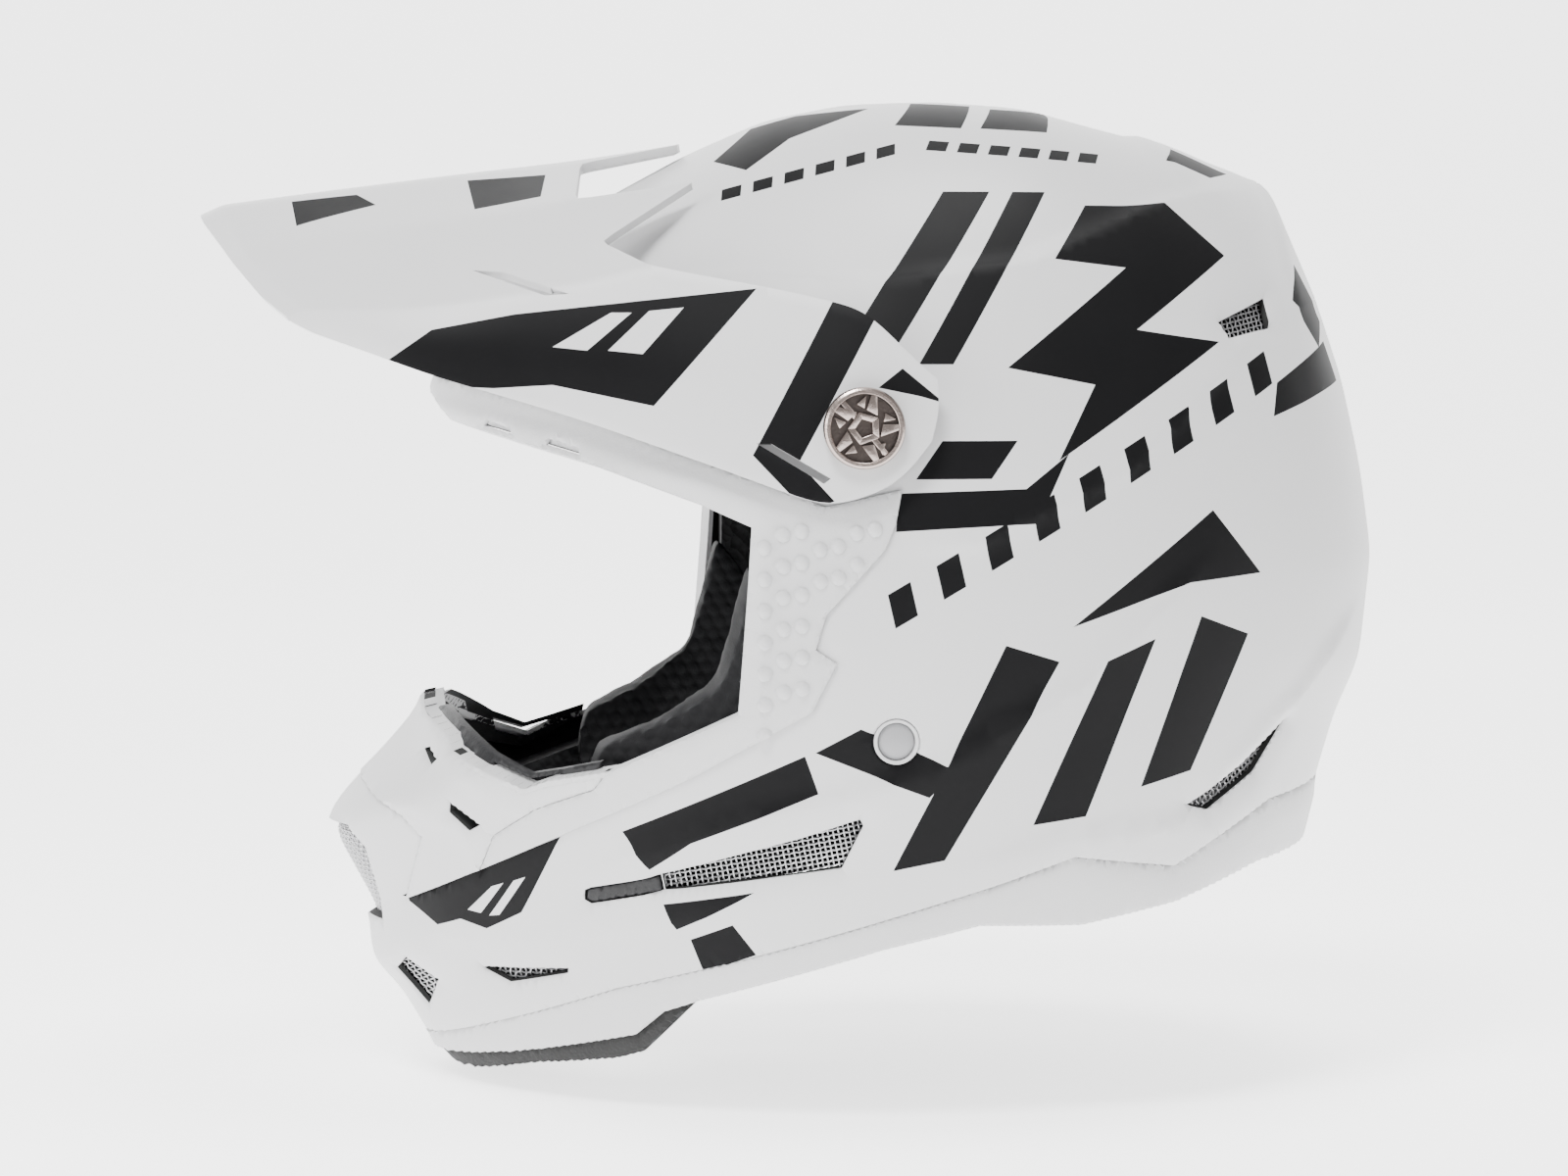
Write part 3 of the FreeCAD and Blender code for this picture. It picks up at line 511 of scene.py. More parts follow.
TRIM_REGION = [
    (-200, 80), (-142, 67), (-101, 57), (-80, 49), (-43, 36), (-30, 31), (-8, 36), (-10, 26), (-13, 19),
    (-30, 0), (-33, -10), (-27, -14), (-34, -28), (-70, -49), (-103, -66), (-129, -80), (-125, -69),
    (-113, -60), (-96, -53), (-91, -46), (-60, -20), (-60, 20), (-100, 40), (-200, 50),
]
MOUTH_REGION = [
    (-200, 0), (-200, -58), (-166, -57), (-153, -66), (-147, -72), (-152, -93), (-129, -80), (-125, -69),
    (-113, -60), (-96, -53), (-91, -46), (-100, 0),
]
CHEEK_VENT = [(-77, -78), (-76, -83), (-25, -75), (-19, -62), (-20, -60), (-37, -66), (-54, -71)]
CHEEK_BADGE = [(-99, -84), (-97, -83), (-77.4, -78.2), (-76.4, -83), (-97, -88), (-99, -87)]
LOW_VENT = [(-130, -112), (-121, -116), (-104, -111), (-104, -109.5)]
FRONT_VENT = [(-153, -113), (-143, -119), (-146, -129), (-156, -118)]
REAR_HIGH_VENT = [(92, 85), (109, 92), (110, 83), (95, 80)]
REAR_LOW_VENT = [(80, -59), (87, -61), (103, -51), (113, -36), (98, -48)]
BROW_VENTS = [
    [(-129, 48), (-118, 46), (-119, 52), (-126, 54.5)],
    [(-111, 43), (-99, 41), (-99.5, 47), (-108, 49.5)],
]
NOSE_GUARD = [
    (-240, -36), (-146, -36), (-143, -35), (-137, -39.5), (-128, -46), (-117, -51), (-108, -49), (-96, -46),
    (-97, -50), (-110, -56), (-118, -59), (-131, -56), (-141, -50), (-148, -43), (-240, -43),
]
NOSE_SLOTS = [
    [(-140, -43), (-134, -46.5), (-134.5, -49), (-140, -46.5)],
    [(-128, -48.5), (-117, -52.5), (-108, -50.5), (-112, -54), (-119, -56), (-127, -53)],
]
CHIN_ROLL = [
    (-240, -144.2), (-144, -144.2), (-130, -141.2), (-111, -136.2), (-83, -128.2), (-75, -120.2),
    (-65, -116.2), (-81, -135), (-89, -138), (-114, -143), (-128, -148), (-140, -150), (-240, -150),
]
MOUTH_VENT = [(0, -72), (20, -72), (26, -78), (18, -102), (0, -102)]
MOUTH_SLOTS = [
    [(-146, -46), (-144, -45), (-142, -48), (-144, -50)],
    [(-138, -60), (-129, -66), (-132, -68), (-138, -63)],
]
FAR = 240


def above(line):
    return [*line, (FAR, FAR), (-FAR, FAR)]


def circle(y, z, r, n=28):
    return [(y + r * math.cos(2 * math.pi * k / n), z + r * math.sin(2 * math.pi * k / n)) for k in range(n)]


PIVOT = (-19.6, 54.0)
RIVET = (-9.7, -36.7)


def front_y(x, z):
    """Y of the front of the envelope at places in the front view."""
    low, high = np.full(len(x), -215.0), np.full(len(x), -60.0)
    for _ in range(32):
        middle = (low + high) / 2
        q = to_disc(np.stack([middle, z], axis=-1))
        angle, rise = from_disc(q)
        out = np.hypot(q[:, 0], q[:, 1]) > math.pi / 2
        wide = np.where(out, -1, envelope(angle, rise)[:, 0])
        low, high = np.where(wide < np.abs(x), middle, low), np.where(wide < np.abs(x), high, middle)
    return high


def front_outline(points):
    """The side-view outline of a front-view half outline that starts and ends on the centre line."""
    x, z = np.array(spaced(points, 2.0, closed=False)).T
    y = front_y(x, z)
    return [(-240, points[0][1]), *zip(y, z), (-240, points[-1][1])]


MOUTH_HOLE = front_outline(MOUTH_VENT)

# ------------------------------------------------------------------------------------------- shell

CREASE_HIGH = [(-85, 93), (-51, 98), (-11, 95), (32, 101), (76, 119), (117, 127)]
CREASE_MID = [(-14, 19), (14, 21), (59, 41), (107, 84), (138, 93)]
CREASE_LOW = [(-2, -80), (39, -66), (76, -64), (119, -26), (146, 2)]
CREASE_CHEEK = [(-109, -86), (-86, -72), (-53, -60), (-19, -52), (3, -44), (44, -21), (90, 20)]
CREASE_CHIN = [(-150, -103), (-130, -102), (-104, -99), (-75, -92), (-40, -84)]


def shell_relief(yz, x):
    """Soft character lines: each rises slowly from one side and falls off quickly on the other."""
    lift = np.zeros(len(yz))
    for line, height, wide, tight in (
        (CREASE_HIGH, 1.5, 24, 5),
        (CREASE_MID, 1.4, -24, 5),
        (CREASE_LOW, 1.6, 22, 5),
        (CREASE_CHEEK, 1.5, 20, 4.5),
        (CREASE_CHIN, 1.1, -14, 4),
    ):
        d, along = distance_to(yz, line)
        d = d * (1 if wide > 0 else -1)
        reach = np.where(d > 0, tight, abs(wide))
        fade = smooth01(along / 0.14) * smooth01((1 - along) / 0.14)
        lift += height * fade * np.clip(1 - np.abs(d) / reach, 0, 1) ** 1.6
    for outline, depth in ((CHEEK_VENT, 1.4), (CHEEK_BADGE, 0.4), (REAR_HIGH_VENT, 1.6), (REAR_LOW_VENT, 1.6),
                           (LOW_VENT, 0.8), (FRONT_VENT, 0.8)):
        d = np.abs(distance_to(yz, [*outline, outline[0]])[0])
        lift -= depth * np.exp(-((d / 3.2) ** 2))
    d = np.abs(distance_to(yz, TRIM_REGION[1:19])[0])
    lift -= 0.5 * np.exp(-((d / 0.9) ** 2))
    # the two steps of the rear spoiler, near the centre line
    middle = smooth01((70 - x) / 30)
    for line in ([(100, 170), (119, 122), (121, 60)], [(60, 170), (84, 132), (100, 90)]):
        d, _ = distance_to(yz, line)
        lift += 1.3 * middle * np.clip(1 - np.abs(np.where(d > 0, d / 16, d / 3)), 0, 1)
    return lift


def dash_row(start, end, count, length, height, lean):
    """A row of small leaning bars between two side-view points."""
    (y1, z1), (y2, z2) = start, end
    run = math.dist(start, end)
    uy, uz = (y2 - y1) / run, (z2 - z1) / run
    bars = []
    for k in range(count):
        s = (k + 0.5) / count * run - length / 2
        y, z = y1 + uy * s, z1 + uz * s
        bars.append([(y, z), (y + uy * length, z + uz * length),
                     (y + uy * length - uz * height + lean * uy, z + uz * length + uy * height + lean * uz),
                     (y - uz * height + lean * uy, z + uy * height + lean * uz)])
    return bars


GRAPHICS = [
    [(9, 123), (23, 123), (-9, 76), (-24, 76)],
    [(30, 123), (40, 123), (8, 72), (-2, 72)],
    [(77, 119), (95, 104), (64, 82), (90, 78), (38, 44), (50, 66), (24, 71), (62, 100), (40, 102), (52, 119)],
    [(4, 50), (26, 50), (18, 39), (-4, 39)],
    [(-9, 35), (28, 36), (41, 46), (31, 26), (-10, 24)],
    [(-88, -65), (-36, -41), (-32, -52), (-68, -67), (-80, -76)],
    [(-76, -86.5), (-50, -82), (-72, -94)],
    [(-68, -97), (-56, -92), (-49, -101), (-64, -107)],
    [(22, -9), (38, -14), (5, -72), (-10, -75)],
    [(52, -14), (67, -8), (47, -60), (31, -62)],
    [(82, -2), (98, -8), (80, -48), (64, -52)],
    [(42, -4), (86, 29), (102, 10), (78, 8)],
    [(-33, -40), (-20, -33), (8, -45), (0, -53)],
    [(-57, 133), (-44, 144), (-30, 148), (-8, 150), (-34, 140), (-48, 130)],
    [(6, 152), (24, 151), (18, 143), (-2, 144)],
    [(30, 150), (49, 149), (45, 142), (24, 143)],
    [(86, 137), (104, 130), (96, 128), (82, 133)],
    [(121, 101), (131, 84), (128, 76), (118, 90)],
    [(110, 66), (131, 78), (136, 66), (120, 60), (108, 56)],
    [(-153, -92), (-106, -68), (-117, -92), (-127, -98), (-135, -96), (-142, -99)],
    *dash_row((-14, -6), (112, 68), 9, 7.5, 9.5, 3.0),
    *dash_row((-58, 120), (-2, 135), 6, 6.0, 3.2, 1.5),
    *dash_row((4, 136), (60, 132), 6, 6.0, 3.2, 1.5),
]
WHITE_MARKS = [
    [(-133, -93), (-126, -85), (-122.5, -83.5), (-129, -93.5)],
    [(-126.5, -94), (-119.5, -82.5), (-116, -81), (-123.5, -93.5)],
]


def make_shell():
    holes = [SHELL_EYEPORT, MOUTH_REGION, CHEEK_VENT, CHEEK_BADGE, LOW_VENT, FRONT_VENT, REAR_HIGH_VENT,
             REAR_LOW_VENT, MOUTH_HOLE, circle(*PIVOT, 9.1), circle(*RIVET, 6.7)]
    paints = [(1, g) for g in GRAPHICS] + [(0, g) for g in WHITE_MARKS]
    lines = [CREASE_HIGH, CREASE_MID, CREASE_LOW, CREASE_CHEEK, CREASE_CHIN, TRIM_REGION[1:19]]
    # the shell's inner skin and the rims of every hole take the near-black painted shade (index 2)
    o = moulded("shell", above(PANEL_LINE), holes, lines, paints, (WHITE, BLACK, PAINTED_SHADE), 0.0, 3.0, 2.8,
                shell_relief, 0.7, inner_mat=2)
    settle(o, "helmet", "shell_paint", "outer_shell")


def make_bottom_trim():
    band = [*PANEL_LINE, *LOWER_EDGE[::-1]]

    def relief(yz, x):
        d, _ = distance_to(yz, PANEL_LINE)
        return 0.9 * smooth01((-d - 1.0) / 6.0) + 0.2

    o = moulded("bottom_edge", band, (), (), (), (TRIM_WHITE,), -0.1, 3.6, 2.6, relief, 1.2)
    settle(o, "helmet", "edge_trim", "bottom_edge_trim")


def dome_places():
    rows = []
    for y, z in ((-42, z) for z in (23, 14, 5, -4, -13, -22, -31)):
        rows += [(y + 5.2 * j, z + 2.4 * j - (1.4 if j % 2 else 0)) for j in range(-1, 6)]
    edge = [(-47, 26), (-12, 29), (-16, 20), (-33, 2), (-37, -11), (-32, -17), (-38, -28), (-50, -37)]
    return [p for p in rows if inside(np.array([p], float), edge)[0]]


def make_trim():
    domes = dome_places()

    def relief(yz, x):
        lift = np.zeros(len(yz))
        for y, z in domes:
            r2 = ((yz[:, 0] - y) ** 2 + (yz[:, 1] - z) ** 2) / 2.2**2
            lift = np.maximum(lift, 1.6 * np.sqrt(np.clip(1 - r2, 0, 1)))
        rim = [(-140, 58), (-98, 48), (-66, 37), (-46, 28), (-47, 0), (-50, -30), (-70, -41)]
        d, _ = distance_to(yz, rim)
        return lift + 0.8 * np.exp(-((d / 2.2) ** 2))

    holes = [EYEPORT, *BROW_VENTS]
    rings = [circle(y, z, r, n) for y, z in domes for r, n in ((2.3, 12), (1.9, 12), (1.1, 8))]
    o = moulded("eyeport_trim", TRIM_REGION, holes, rings, (), (TRIM_WHITE, PAINTED_SHADE), -1.2, 0.0, 2.2, relief,
                0.8)
    settle(o, "helmet", "edge_trim", "eyeport_trim")
    lip = [(-200, 70), (-143, 63.6), (-136.4, 55.6), (-97.4, 44.6), (-66.4, 33.6), (-49.4, 26.4), (-50.4, 9),
           (-51.4, -4), (-53.4, -30), (-68.3, -37.5), (-90.4, -48.5), (-108.6, -52.6), (-116, -55.6),
           (-129.6, -50.6), (-138, -46.6), (-147, -37), (-200, -24)]
    o = moulded("eyeport_lip", lip, [EYEPORT], (), (), (TRIM_WHITE,), -1.1, 5.8, 2.4, None, 0.5)
    settle(o, "helmet", "edge_trim")


def make_mouthpiece():
    fold_a = [(-180, -60), (-150, -62), (-132, -70), (-129, -80)]
    fold_b = [(-146, -33), (-139, -47), (-124, -58), (-112, -62)]

    def relief(yz, x):
        da, _ = distance_to(yz, fold_a)
        db, _ = distance_to(yz, fold_b)
        lift = 1.1 * np.clip(1 - np.abs(da) / np.where(da > 0, 12, 4), 0, 1)
        return lift + 0.9 * np.clip(1 - np.abs(db) / 6, 0, 1)

    # the mouthpiece's inner skin and the rims of its slots take the near-black painted shade (index 1)
    o = moulded("mouthpiece", MOUTH_REGION, [EYEPORT, *MOUTH_SLOTS], [fold_a, fold_b], (),
                (WHITE, PAINTED_SHADE), -0.6, 3.0, 2.4, relief, 0.8, inner_mat=1)
    settle(o, "helmet", "shell_paint", "mouthpiece")


def make_nose_guard():
    o = moulded("nose_guard_cover", NOSE_GUARD, NOSE_SLOTS, (), (), (TRIM_BLACK,), 3.5, 5.8, 1.8, None, 0.6)
    settle(o, "helmet", "satin_black", "nose_guard")


def make_vents():
    """Woven wire in every vent, over a dark backing."""
    pitch, wire = 1.55, 0.27
    for label, outline, node in (
        ("cheek", CHEEK_VENT, "cheek_vent_mesh"),
        ("lower", LOW_VENT, "lower_vent_mesh"),
        ("front", FRONT_VENT, "front_vent_mesh"),
        ("rear_upper", REAR_HIGH_VENT, "rear_upper_vent_mesh"),
        ("rear_lower", REAR_LOW_VENT, "rear_lower_vent_mesh"),
    ):
        lean = math.radians({"cheek": 12, "lower": 4, "front": 40, "rear_upper": 12, "rear_lower": 35}[label])
        u = np.array([math.cos(lean), math.sin(lean)])
        v = np.array([-math.sin(lean), math.cos(lean)])
        pts = np.array(outline, float)
        centre = pts.mean(axis=0)
        away = pts - centre
        grown = centre + away * (1 + 2.0 / np.maximum(3, np.linalg.norm(away, axis=1)))[:, None]
        span = 46
        points, faces = [], []
        for first, second in ((u, v), (v, u)):
            for k in range(-span, span + 1):
                t = np.arange(-40, 40, pitch / 2)
                line = centre + first * t[:, None] + second * (k * pitch)
                ok = inside(line, [tuple(p) for p in grown])
                if ok.sum() < 3:
                    continue
                line, t = line[ok], t[ok]
                angle, rise = from_disc(to_disc(line))
                wave = 0.22 * np.cos(math.pi * (t / pitch + k)) * (1 if first is u else -1)
                tube(points, faces, envelope(angle, rise, 3.62 + wave), wire, 5)
        for side, word in ((1, "left"), (-1, "right")):
            made = np.array(points) * np.array([side, 1, 1])
            o = mesh_object(f"{label}_vent_wire_{word}", made,
                            faces if side > 0 else [f[::-1] for f in faces], (WIRE,))
            settle(o, "helmet", "wire_mesh", f"{node}_{word}")
    points, faces = [], []
    for k in range(-18, 19):
        for flat in (0, 1):
            t = np.arange(-27, 27, pitch / 2)
            x, z = (t, np.full(len(t), -87 + k * pitch)) if flat else (np.full(len(t), k * pitch), -87 + t)
            ok = (np.abs(x) < 25) & (z < -73) & (z > -101)
            if ok.sum() < 3:
                continue
            x, z, t = x[ok], z[ok], t[ok]
            wave = 0.22 * np.cos(math.pi * (t / pitch + k)) * (1 if flat else -1)
            tube(points, faces, np.stack([x, front_y(x, z) + 3.6 - wave, z], axis=-1), wire, 5)
    o = mesh_object("mouth_vent_wire", points, faces, (WIRE,))
    settle(o, "helmet", "wire_mesh", "mouth_vent_mesh")


def make_badges():
    grip = [[(-95 + 2.4 * k, -86), (-93.8 + 2.4 * k, -82.6)] for k in range(7)]

    def relief(yz, x):
        lift = np.zeros(len(yz))
        for bar in grip:
            lift += 0.45 * np.exp(-((distance_to(yz, bar)[0] / 0.45) ** 2))
        return lift

    shrunk = [(-98.4, -84.1), (-96.6, -83.3), (-77.8, -78.7), (-77, -82.6), (-96.8, -87.5), (-98.4, -86.6)]
    for side in ("left", "right"):
        o = moulded(f"cheek_vent_badge_{side}_cover", shrunk, (), grip, (), (TRIM_BLACK,), 0.7, 3.0, 0.7,
                    relief, 0.5, side)
        settle(o, "helmet", "satin_black", f"cheek_vent_badge_{side}")


# ------------------------------------------------------------------------------------------- visor

RIDGE = [(0, -215, 118), (0, -208, 121), (0, -186, 124), (0, -155, 128), (0, -125, 132), (0, -97, 135),
         (0, -65, 140)]
FIN = [(14, -214, 116), (14, -207, 119.5), (15, -186, 122.5), (16, -155, 126.5), (16, -125, 130),
       (16, -97, 133), (12, -67, 139)]
SHOULDER = [(44, -203, 102), (45, -199, 105), (50, -176, 109), (52, -150, 112), (54, -125, 116),
            (57, -100, 121), (60, -65, 126)]
WING = [(62, -194, 92), (63, -189, 95), (71, -165, 97), (71, -145, 100), (68, -124, 107), (80, -93, 108)]
HIP = [(76, -186, 86), (78, -180, 88), (88, -155, 88), (91, -137, 90), (95, -118, 93), (98, -98, 96),
       (101, -80, 101), (105, -66, 98), (111, -46, 94.5), (117, -26, 90), (120, -17, 87), (125, -5, 74),
       (126.5, 2, 68)]
FLANK = [(77, -185, 85), (80, -179, 84), (93, -155, 80), (97, -139, 79), (101, -119, 78), (106, -100, 76),
         (111, -80, 74), (116, -63, 70), (122, -44, 65), (127, -28, 61), (128.5, -18, 59), (128.8, -7, 58),
         (128, 2.6, 59)]
EDGE = [(77.5, -184, 84), (81, -178, 81), (93, -155, 73), (97, -141, 68), (101, -120, 62), (105, -100, 56),
        (112, -80, 49), (121, -60, 42), (127.5, -43, 36), (130, -31, 31.5), (131.3, -20, 34),
        (131.3, -9, 38.5), (129.5, 0, 50)]
ROWS = [RIDGE, FIN, SHOULDER, WING, HIP, FLANK, EDGE]
OPEN_CELLS = {(1, 5)}
CREASED = {("row", 2): 0.85, ("row", 3): 0.95, ("row", 4): 0.8, ("row", 1): 0.6, ("col", 1): 0.85}


def make_visor():
    bm = bmesh.new()
    verts = {}
    for side in (1, -1):
        for r, row in enumerate(ROWS):
            for s, (x, y, z) in enumerate(row):
                if r == 0 and side < 0:
                    verts[(r, s, -1)] = verts[(r, s, 1)]
                else:
                    verts[(r, s, side)] = bm.verts.new((side * x * MM, y * MM, z * MM))
    for side in (1, -1):
        cells = []
        for r in range(len(ROWS) - 1):
            for s in range(min(len(ROWS[r]), len(ROWS[r + 1])) - 1):
                if (r, s) not in OPEN_CELLS:
                    cells.append([(r, s), (r, s + 1), (r + 1, s + 1), (r + 1, s)])
        cells += [[(2, 5), (2, 6), (3, 5)], [(3, 5), (4, 6), (4, 5)]]
        for cell in cells:
            corner = [verts[(r, s, side)] for r, s in cell]
            bm.faces.new(corner if side > 0 else corner[::-1])
    crease = bm.edges.layers.float.new("crease_edge")
    bm.edges.ensure_lookup_table()
    key = {v: k for k, v in verts.items()}
    for e in bm.edges:
        (r1, s1, _), (r2, s2, _) = key[e.verts[0]], key[e.verts[1]]
        if e.is_boundary:
            e[crease] = 0.9
        elif r1 == r2:
            e[crease] = CREASED.get(("row", r1), 0.0)
        elif s1 == s2:
            e[crease] = CREASED.get(("col", s1), 0.0)
    bmesh.ops.recalc_face_normals(bm, faces=bm.faces)
    me = bpy.data.meshes.new("visor_cover")
    bm.to_mesh(me)
    bm.free()
    o = bpy.data.objects.new("visor_cover", me)
    bpy.context.scene.collection.objects.link(o)
    sub = o.modifiers.new("surface", "SUBSURF")
    sub.levels = sub.render_levels = 3
    applied(o)
    visor_slots(o)
    outward = sum(p.normal.z * p.area for p in o.data.polygons)
    thick = o.modifiers.new("wall", "SOLIDIFY")
    thick.thickness = 2.5 * MM
    thick.offset = -1 if outward > 0 else 1
    thick.use_even_offset = True
    bev = o.modifiers.new("edges", "BEVEL")
    bev.width = 0.7 * MM
    bev.segments = 2
    bev.limit_method = "ANGLE"
    bev.angle_limit = math.radians(55)
    applied(o)
    o.data.materials.append(WHITE)
    o.data.materials.append(BLACK)
    visor_graphics(o)
    finish_shading(o, 32)
    settle(o, "visor", "visor_plastic", "visor")


def applied(o):
    """Applies every modifier of an object."""
    bpy.context.view_layer.update()
    deps = bpy.context.evaluated_depsgraph_get()
    made = bpy.data.meshes.new_from_object(o.evaluated_get(deps))
    o.modifiers.clear()
    old = o.data
    o.data = made
    bpy.data.meshes.remove(old)


def finish_shading(o, sharp):
    o.data.polygons.foreach_set("use_smooth", [True] * len(o.data.polygons))
    o.data.set_sharp_from_angle(angle=math.radians(sharp))


def cut_outline(o, outline, side, along="x", delete=False, value=1):
    """Cuts an outline, seen from one side or from above, into a mesh; its faces are painted or removed."""
    bm = bmesh.new()
    bm.from_mesh(o.data)

    def flat(co):
        return (co.y / MM, co.z / MM) if along == "x" else (side * co.x / MM, co.y / MM)

    def faces_up(f):
        c = f.calc_center_median()
        if along == "z":
            return side * c.x > 0 and f.normal.z > 0.25
        return side * c.x > 0.01 and (delete or f.normal.x * side > 0.12)

    for a, b in zip(outline, [*outline[1:], outline[0]]):
        middle = np.array([(a[0] + b[0]) / 2, (a[1] + b[1]) / 2])
        reach = math.dist(a, b) / 2 + 7
        near = [
            f for f in bm.faces
            if math.dist(flat(f.calc_center_median()), middle) < reach and faces_up(f)
        ]
        geom = set(near)
        for f in near:
            geom.update(f.edges)
            geom.update(f.verts)
        if along == "x":
            co, no = (0, a[0] * MM, a[1] * MM), (0, -(b[1] - a[1]), b[0] - a[0])
        else:
            co, no = (side * a[0] * MM, a[1] * MM, 0), (-side * (b[1] - a[1]), b[0] - a[0], 0)
        bmesh.ops.bisect_plane(bm, geom=list(geom), dist=1e-7, plane_co=co, plane_no=no)
    marked = [f for f in bm.faces if faces_up(f)]
    if marked:
        hit = inside(np.array([flat(f.calc_center_median()) for f in marked]), outline)
        chosen = [f for f, h in zip(marked, hit) if h]
        if delete:
            bmesh.ops.delete(bm, geom=chosen, context="FACES")
        else:
            for f in chosen:
                f.material_index = value
    bm.to_mesh(o.data)
    bm.free()


def visor_slots(o):
    for side in (1, -1):
        for outline in ([(-131, 99.5), (-122, 99), (-103, 92.5), (-110, 92)],
                        [(-50, 49.5), (-46, 49.5), (-29, 39.5), (-31, 38)]):
            cut_outline(o, outline, side, delete=True)


def visor_graphics(o):
    band = [(-156, 73), (-143, 82), (-119, 86.5), (-49, 94), (-79, 60), (-108, 66), (-125, 65), (-149, 66)]
    marks = [[(-108, 77), (-91, 87), (-85, 87), (-98, 76)], [(-92, 76), (-80, 87.5), (-70, 88.5), (-82, 75)]]
    arm = [(-27, 91), (-14, 88), (-38, 44), (-28, 33), (-36, 30), (-51, 46)]
    flash = [(-3, 63), (-15, 65.5), (-8, 71), (4, 61)]
    for side in (1, -1):
        for outline in (band, arm, flash):
            cut_outline(o, outline, side)
        for outline in marks:
            cut_outline(o, outline, side, value=0)
        for outline in ([(18, -186), (36, -184), (30, -160), (20, -166)],
                        [(20, -132), (46, -130), (46, -110), (24, -108)]):
            cut_outline(o, outline, side, "z")


# ------------------------------------------------------------------------------------------- hardware


def slab(points, faces, outline, low, high):
    """Adds a flat prism with an outline in the local XY plane."""
    start, n = len(points), len(outline)
    points += [(a, b, low) for a, b in outline] + [(a, b, high) for a, b in outline]
    faces.append([start + k for k in range(n)][::-1])
    faces.append([start + n + k for k in range(n)])
    faces += [(start + k, start + (k + 1) % n, start + n + (k + 1) % n, start + n + k) for k in range(n)]


def make_screws():
    """Pivot screws: a turned rim and shank, five spokes and a slotted pentagon hub in a dish whose wall and
    floor are painted darker as shade.
    """
    for side, word in ((1, "left"), (-1, "right")):
        place, axis = (side * 129.6, *PIVOT), (side, 0, 0)
        profile = [(0, -18), (3.5, -18), (3.9, -17.4), (3.9, -0.02), (11.2, 0), (11.7, 0.4), (11.8, 0.9),
                   (11.8, 3.0), (11.5, 3.7), (10.9, 4.1), (10.1, 4.1), (9.9, 3.9), (9.7, 2.2), (0, 2.2)]
        # the last two profile segments, the dish's inner wall and floor, take the painted-shade copy of the
        # bronze
        o = lathe(f"visor_screw_{word}_body", profile, (BRONZE, BRONZE_PAINTED_SHADE), place, axis, 96,
                  [0] * 11 + [1, 1])
        settle(o, f"visor_screw_{word}", "screw_metal", f"visor_screw_{word}")
        points, faces = [], []
        for k in range(5):
            a = math.radians(72 * k + 20)
            c, s = math.cos(a), math.sin(a)
            for shape in (
                [(4.4, -2.6), (9.9, -0.9), (9.9, 0.9), (5.2, 1.0)],
                [(5.4, 1.6), (9.2, 2.2), (6.0, 4.2)],
            ):
                slab(points, faces, [(c * x - s * y, s * x + c * y) for x, y in shape], 2.0, 3.75)
        hub = [(5.0 * math.cos(math.radians(72 * k + 56)), 5.0 * math.sin(math.radians(72 * k + 56)))
               for k in range(5)]
        inner = [(x * 0.55, y * 0.55) for x, y in hub]
        for k in range(5):
            j = (k + 1) % 5
            slab(points, faces, [hub[k], hub[j], inner[j], inner[k]], 2.0, 3.95)
        for low, high in ((2.9, 9.9),):
            for turn in (40, 220):
                a = math.radians(turn)
                c, s = math.cos(a), math.sin(a)
                bar = [(low, -0.8), (high, -0.8), (high, 0.8), (low, 0.8)]
                slab(points, faces, [(c * x - s * y, s * x + c * y) for x, y in bar], 2.0, 3.4)
        turn = Vector((0, 0, 1)).rotation_difference(Vector(axis)).to_matrix()
        points = [tuple(turn @ Vector(p) + Vector(place)) for p in points]
        o = mesh_object(f"visor_screw_{word}_spokes", points, faces, (BRONZE,), None, 30)
        bev = o.modifiers.new("edges", "BEVEL")
        bev.width = 0.22 * MM
        bev.segments = 2
        bev.limit_method = "ANGLE"
        applied(o)
        finish_shading(o, 40)
        settle(o, f"visor_screw_{word}", "screw_metal")


def make_rivets():
    x = side_x(*RIVET)
    for side, word in ((1, "left"), (-1, "right")):
        place, axis = (side * (x - 3.4), *RIVET), (side, 0, 0)
        cup = [(5.5, 0.9), (5.5, 3.0), (5.7, 3.4), (6.3, 3.5), (6.6, 3.2), (6.6, 0), (2.2, 0), (2.2, 0.9),
               (5.5, 0.9)]
        o = lathe(f"rivet_cup_{word}_ring", cup, (TRIM_WHITE,), place, axis)
        settle(o, "helmet", "grey_plastic", f"rivet_cup_{word}")
        head = [(0, -7), (5, -7), (5, -6), (2.1, -6), (2.1, 1.1), (5.2, 1.1), (5.3, 1.4), (5.2, 2.2),
                (4.4, 2.8), (2.6, 3.2), (0, 3.35)]
        o = lathe(f"strap_rivet_{word}_head", head, (GREY,), place, axis)
        settle(o, "helmet", "ring_steel", f"strap_rivet_{word}")


# ------------------------------------------------------------------------------------------- soft pieces


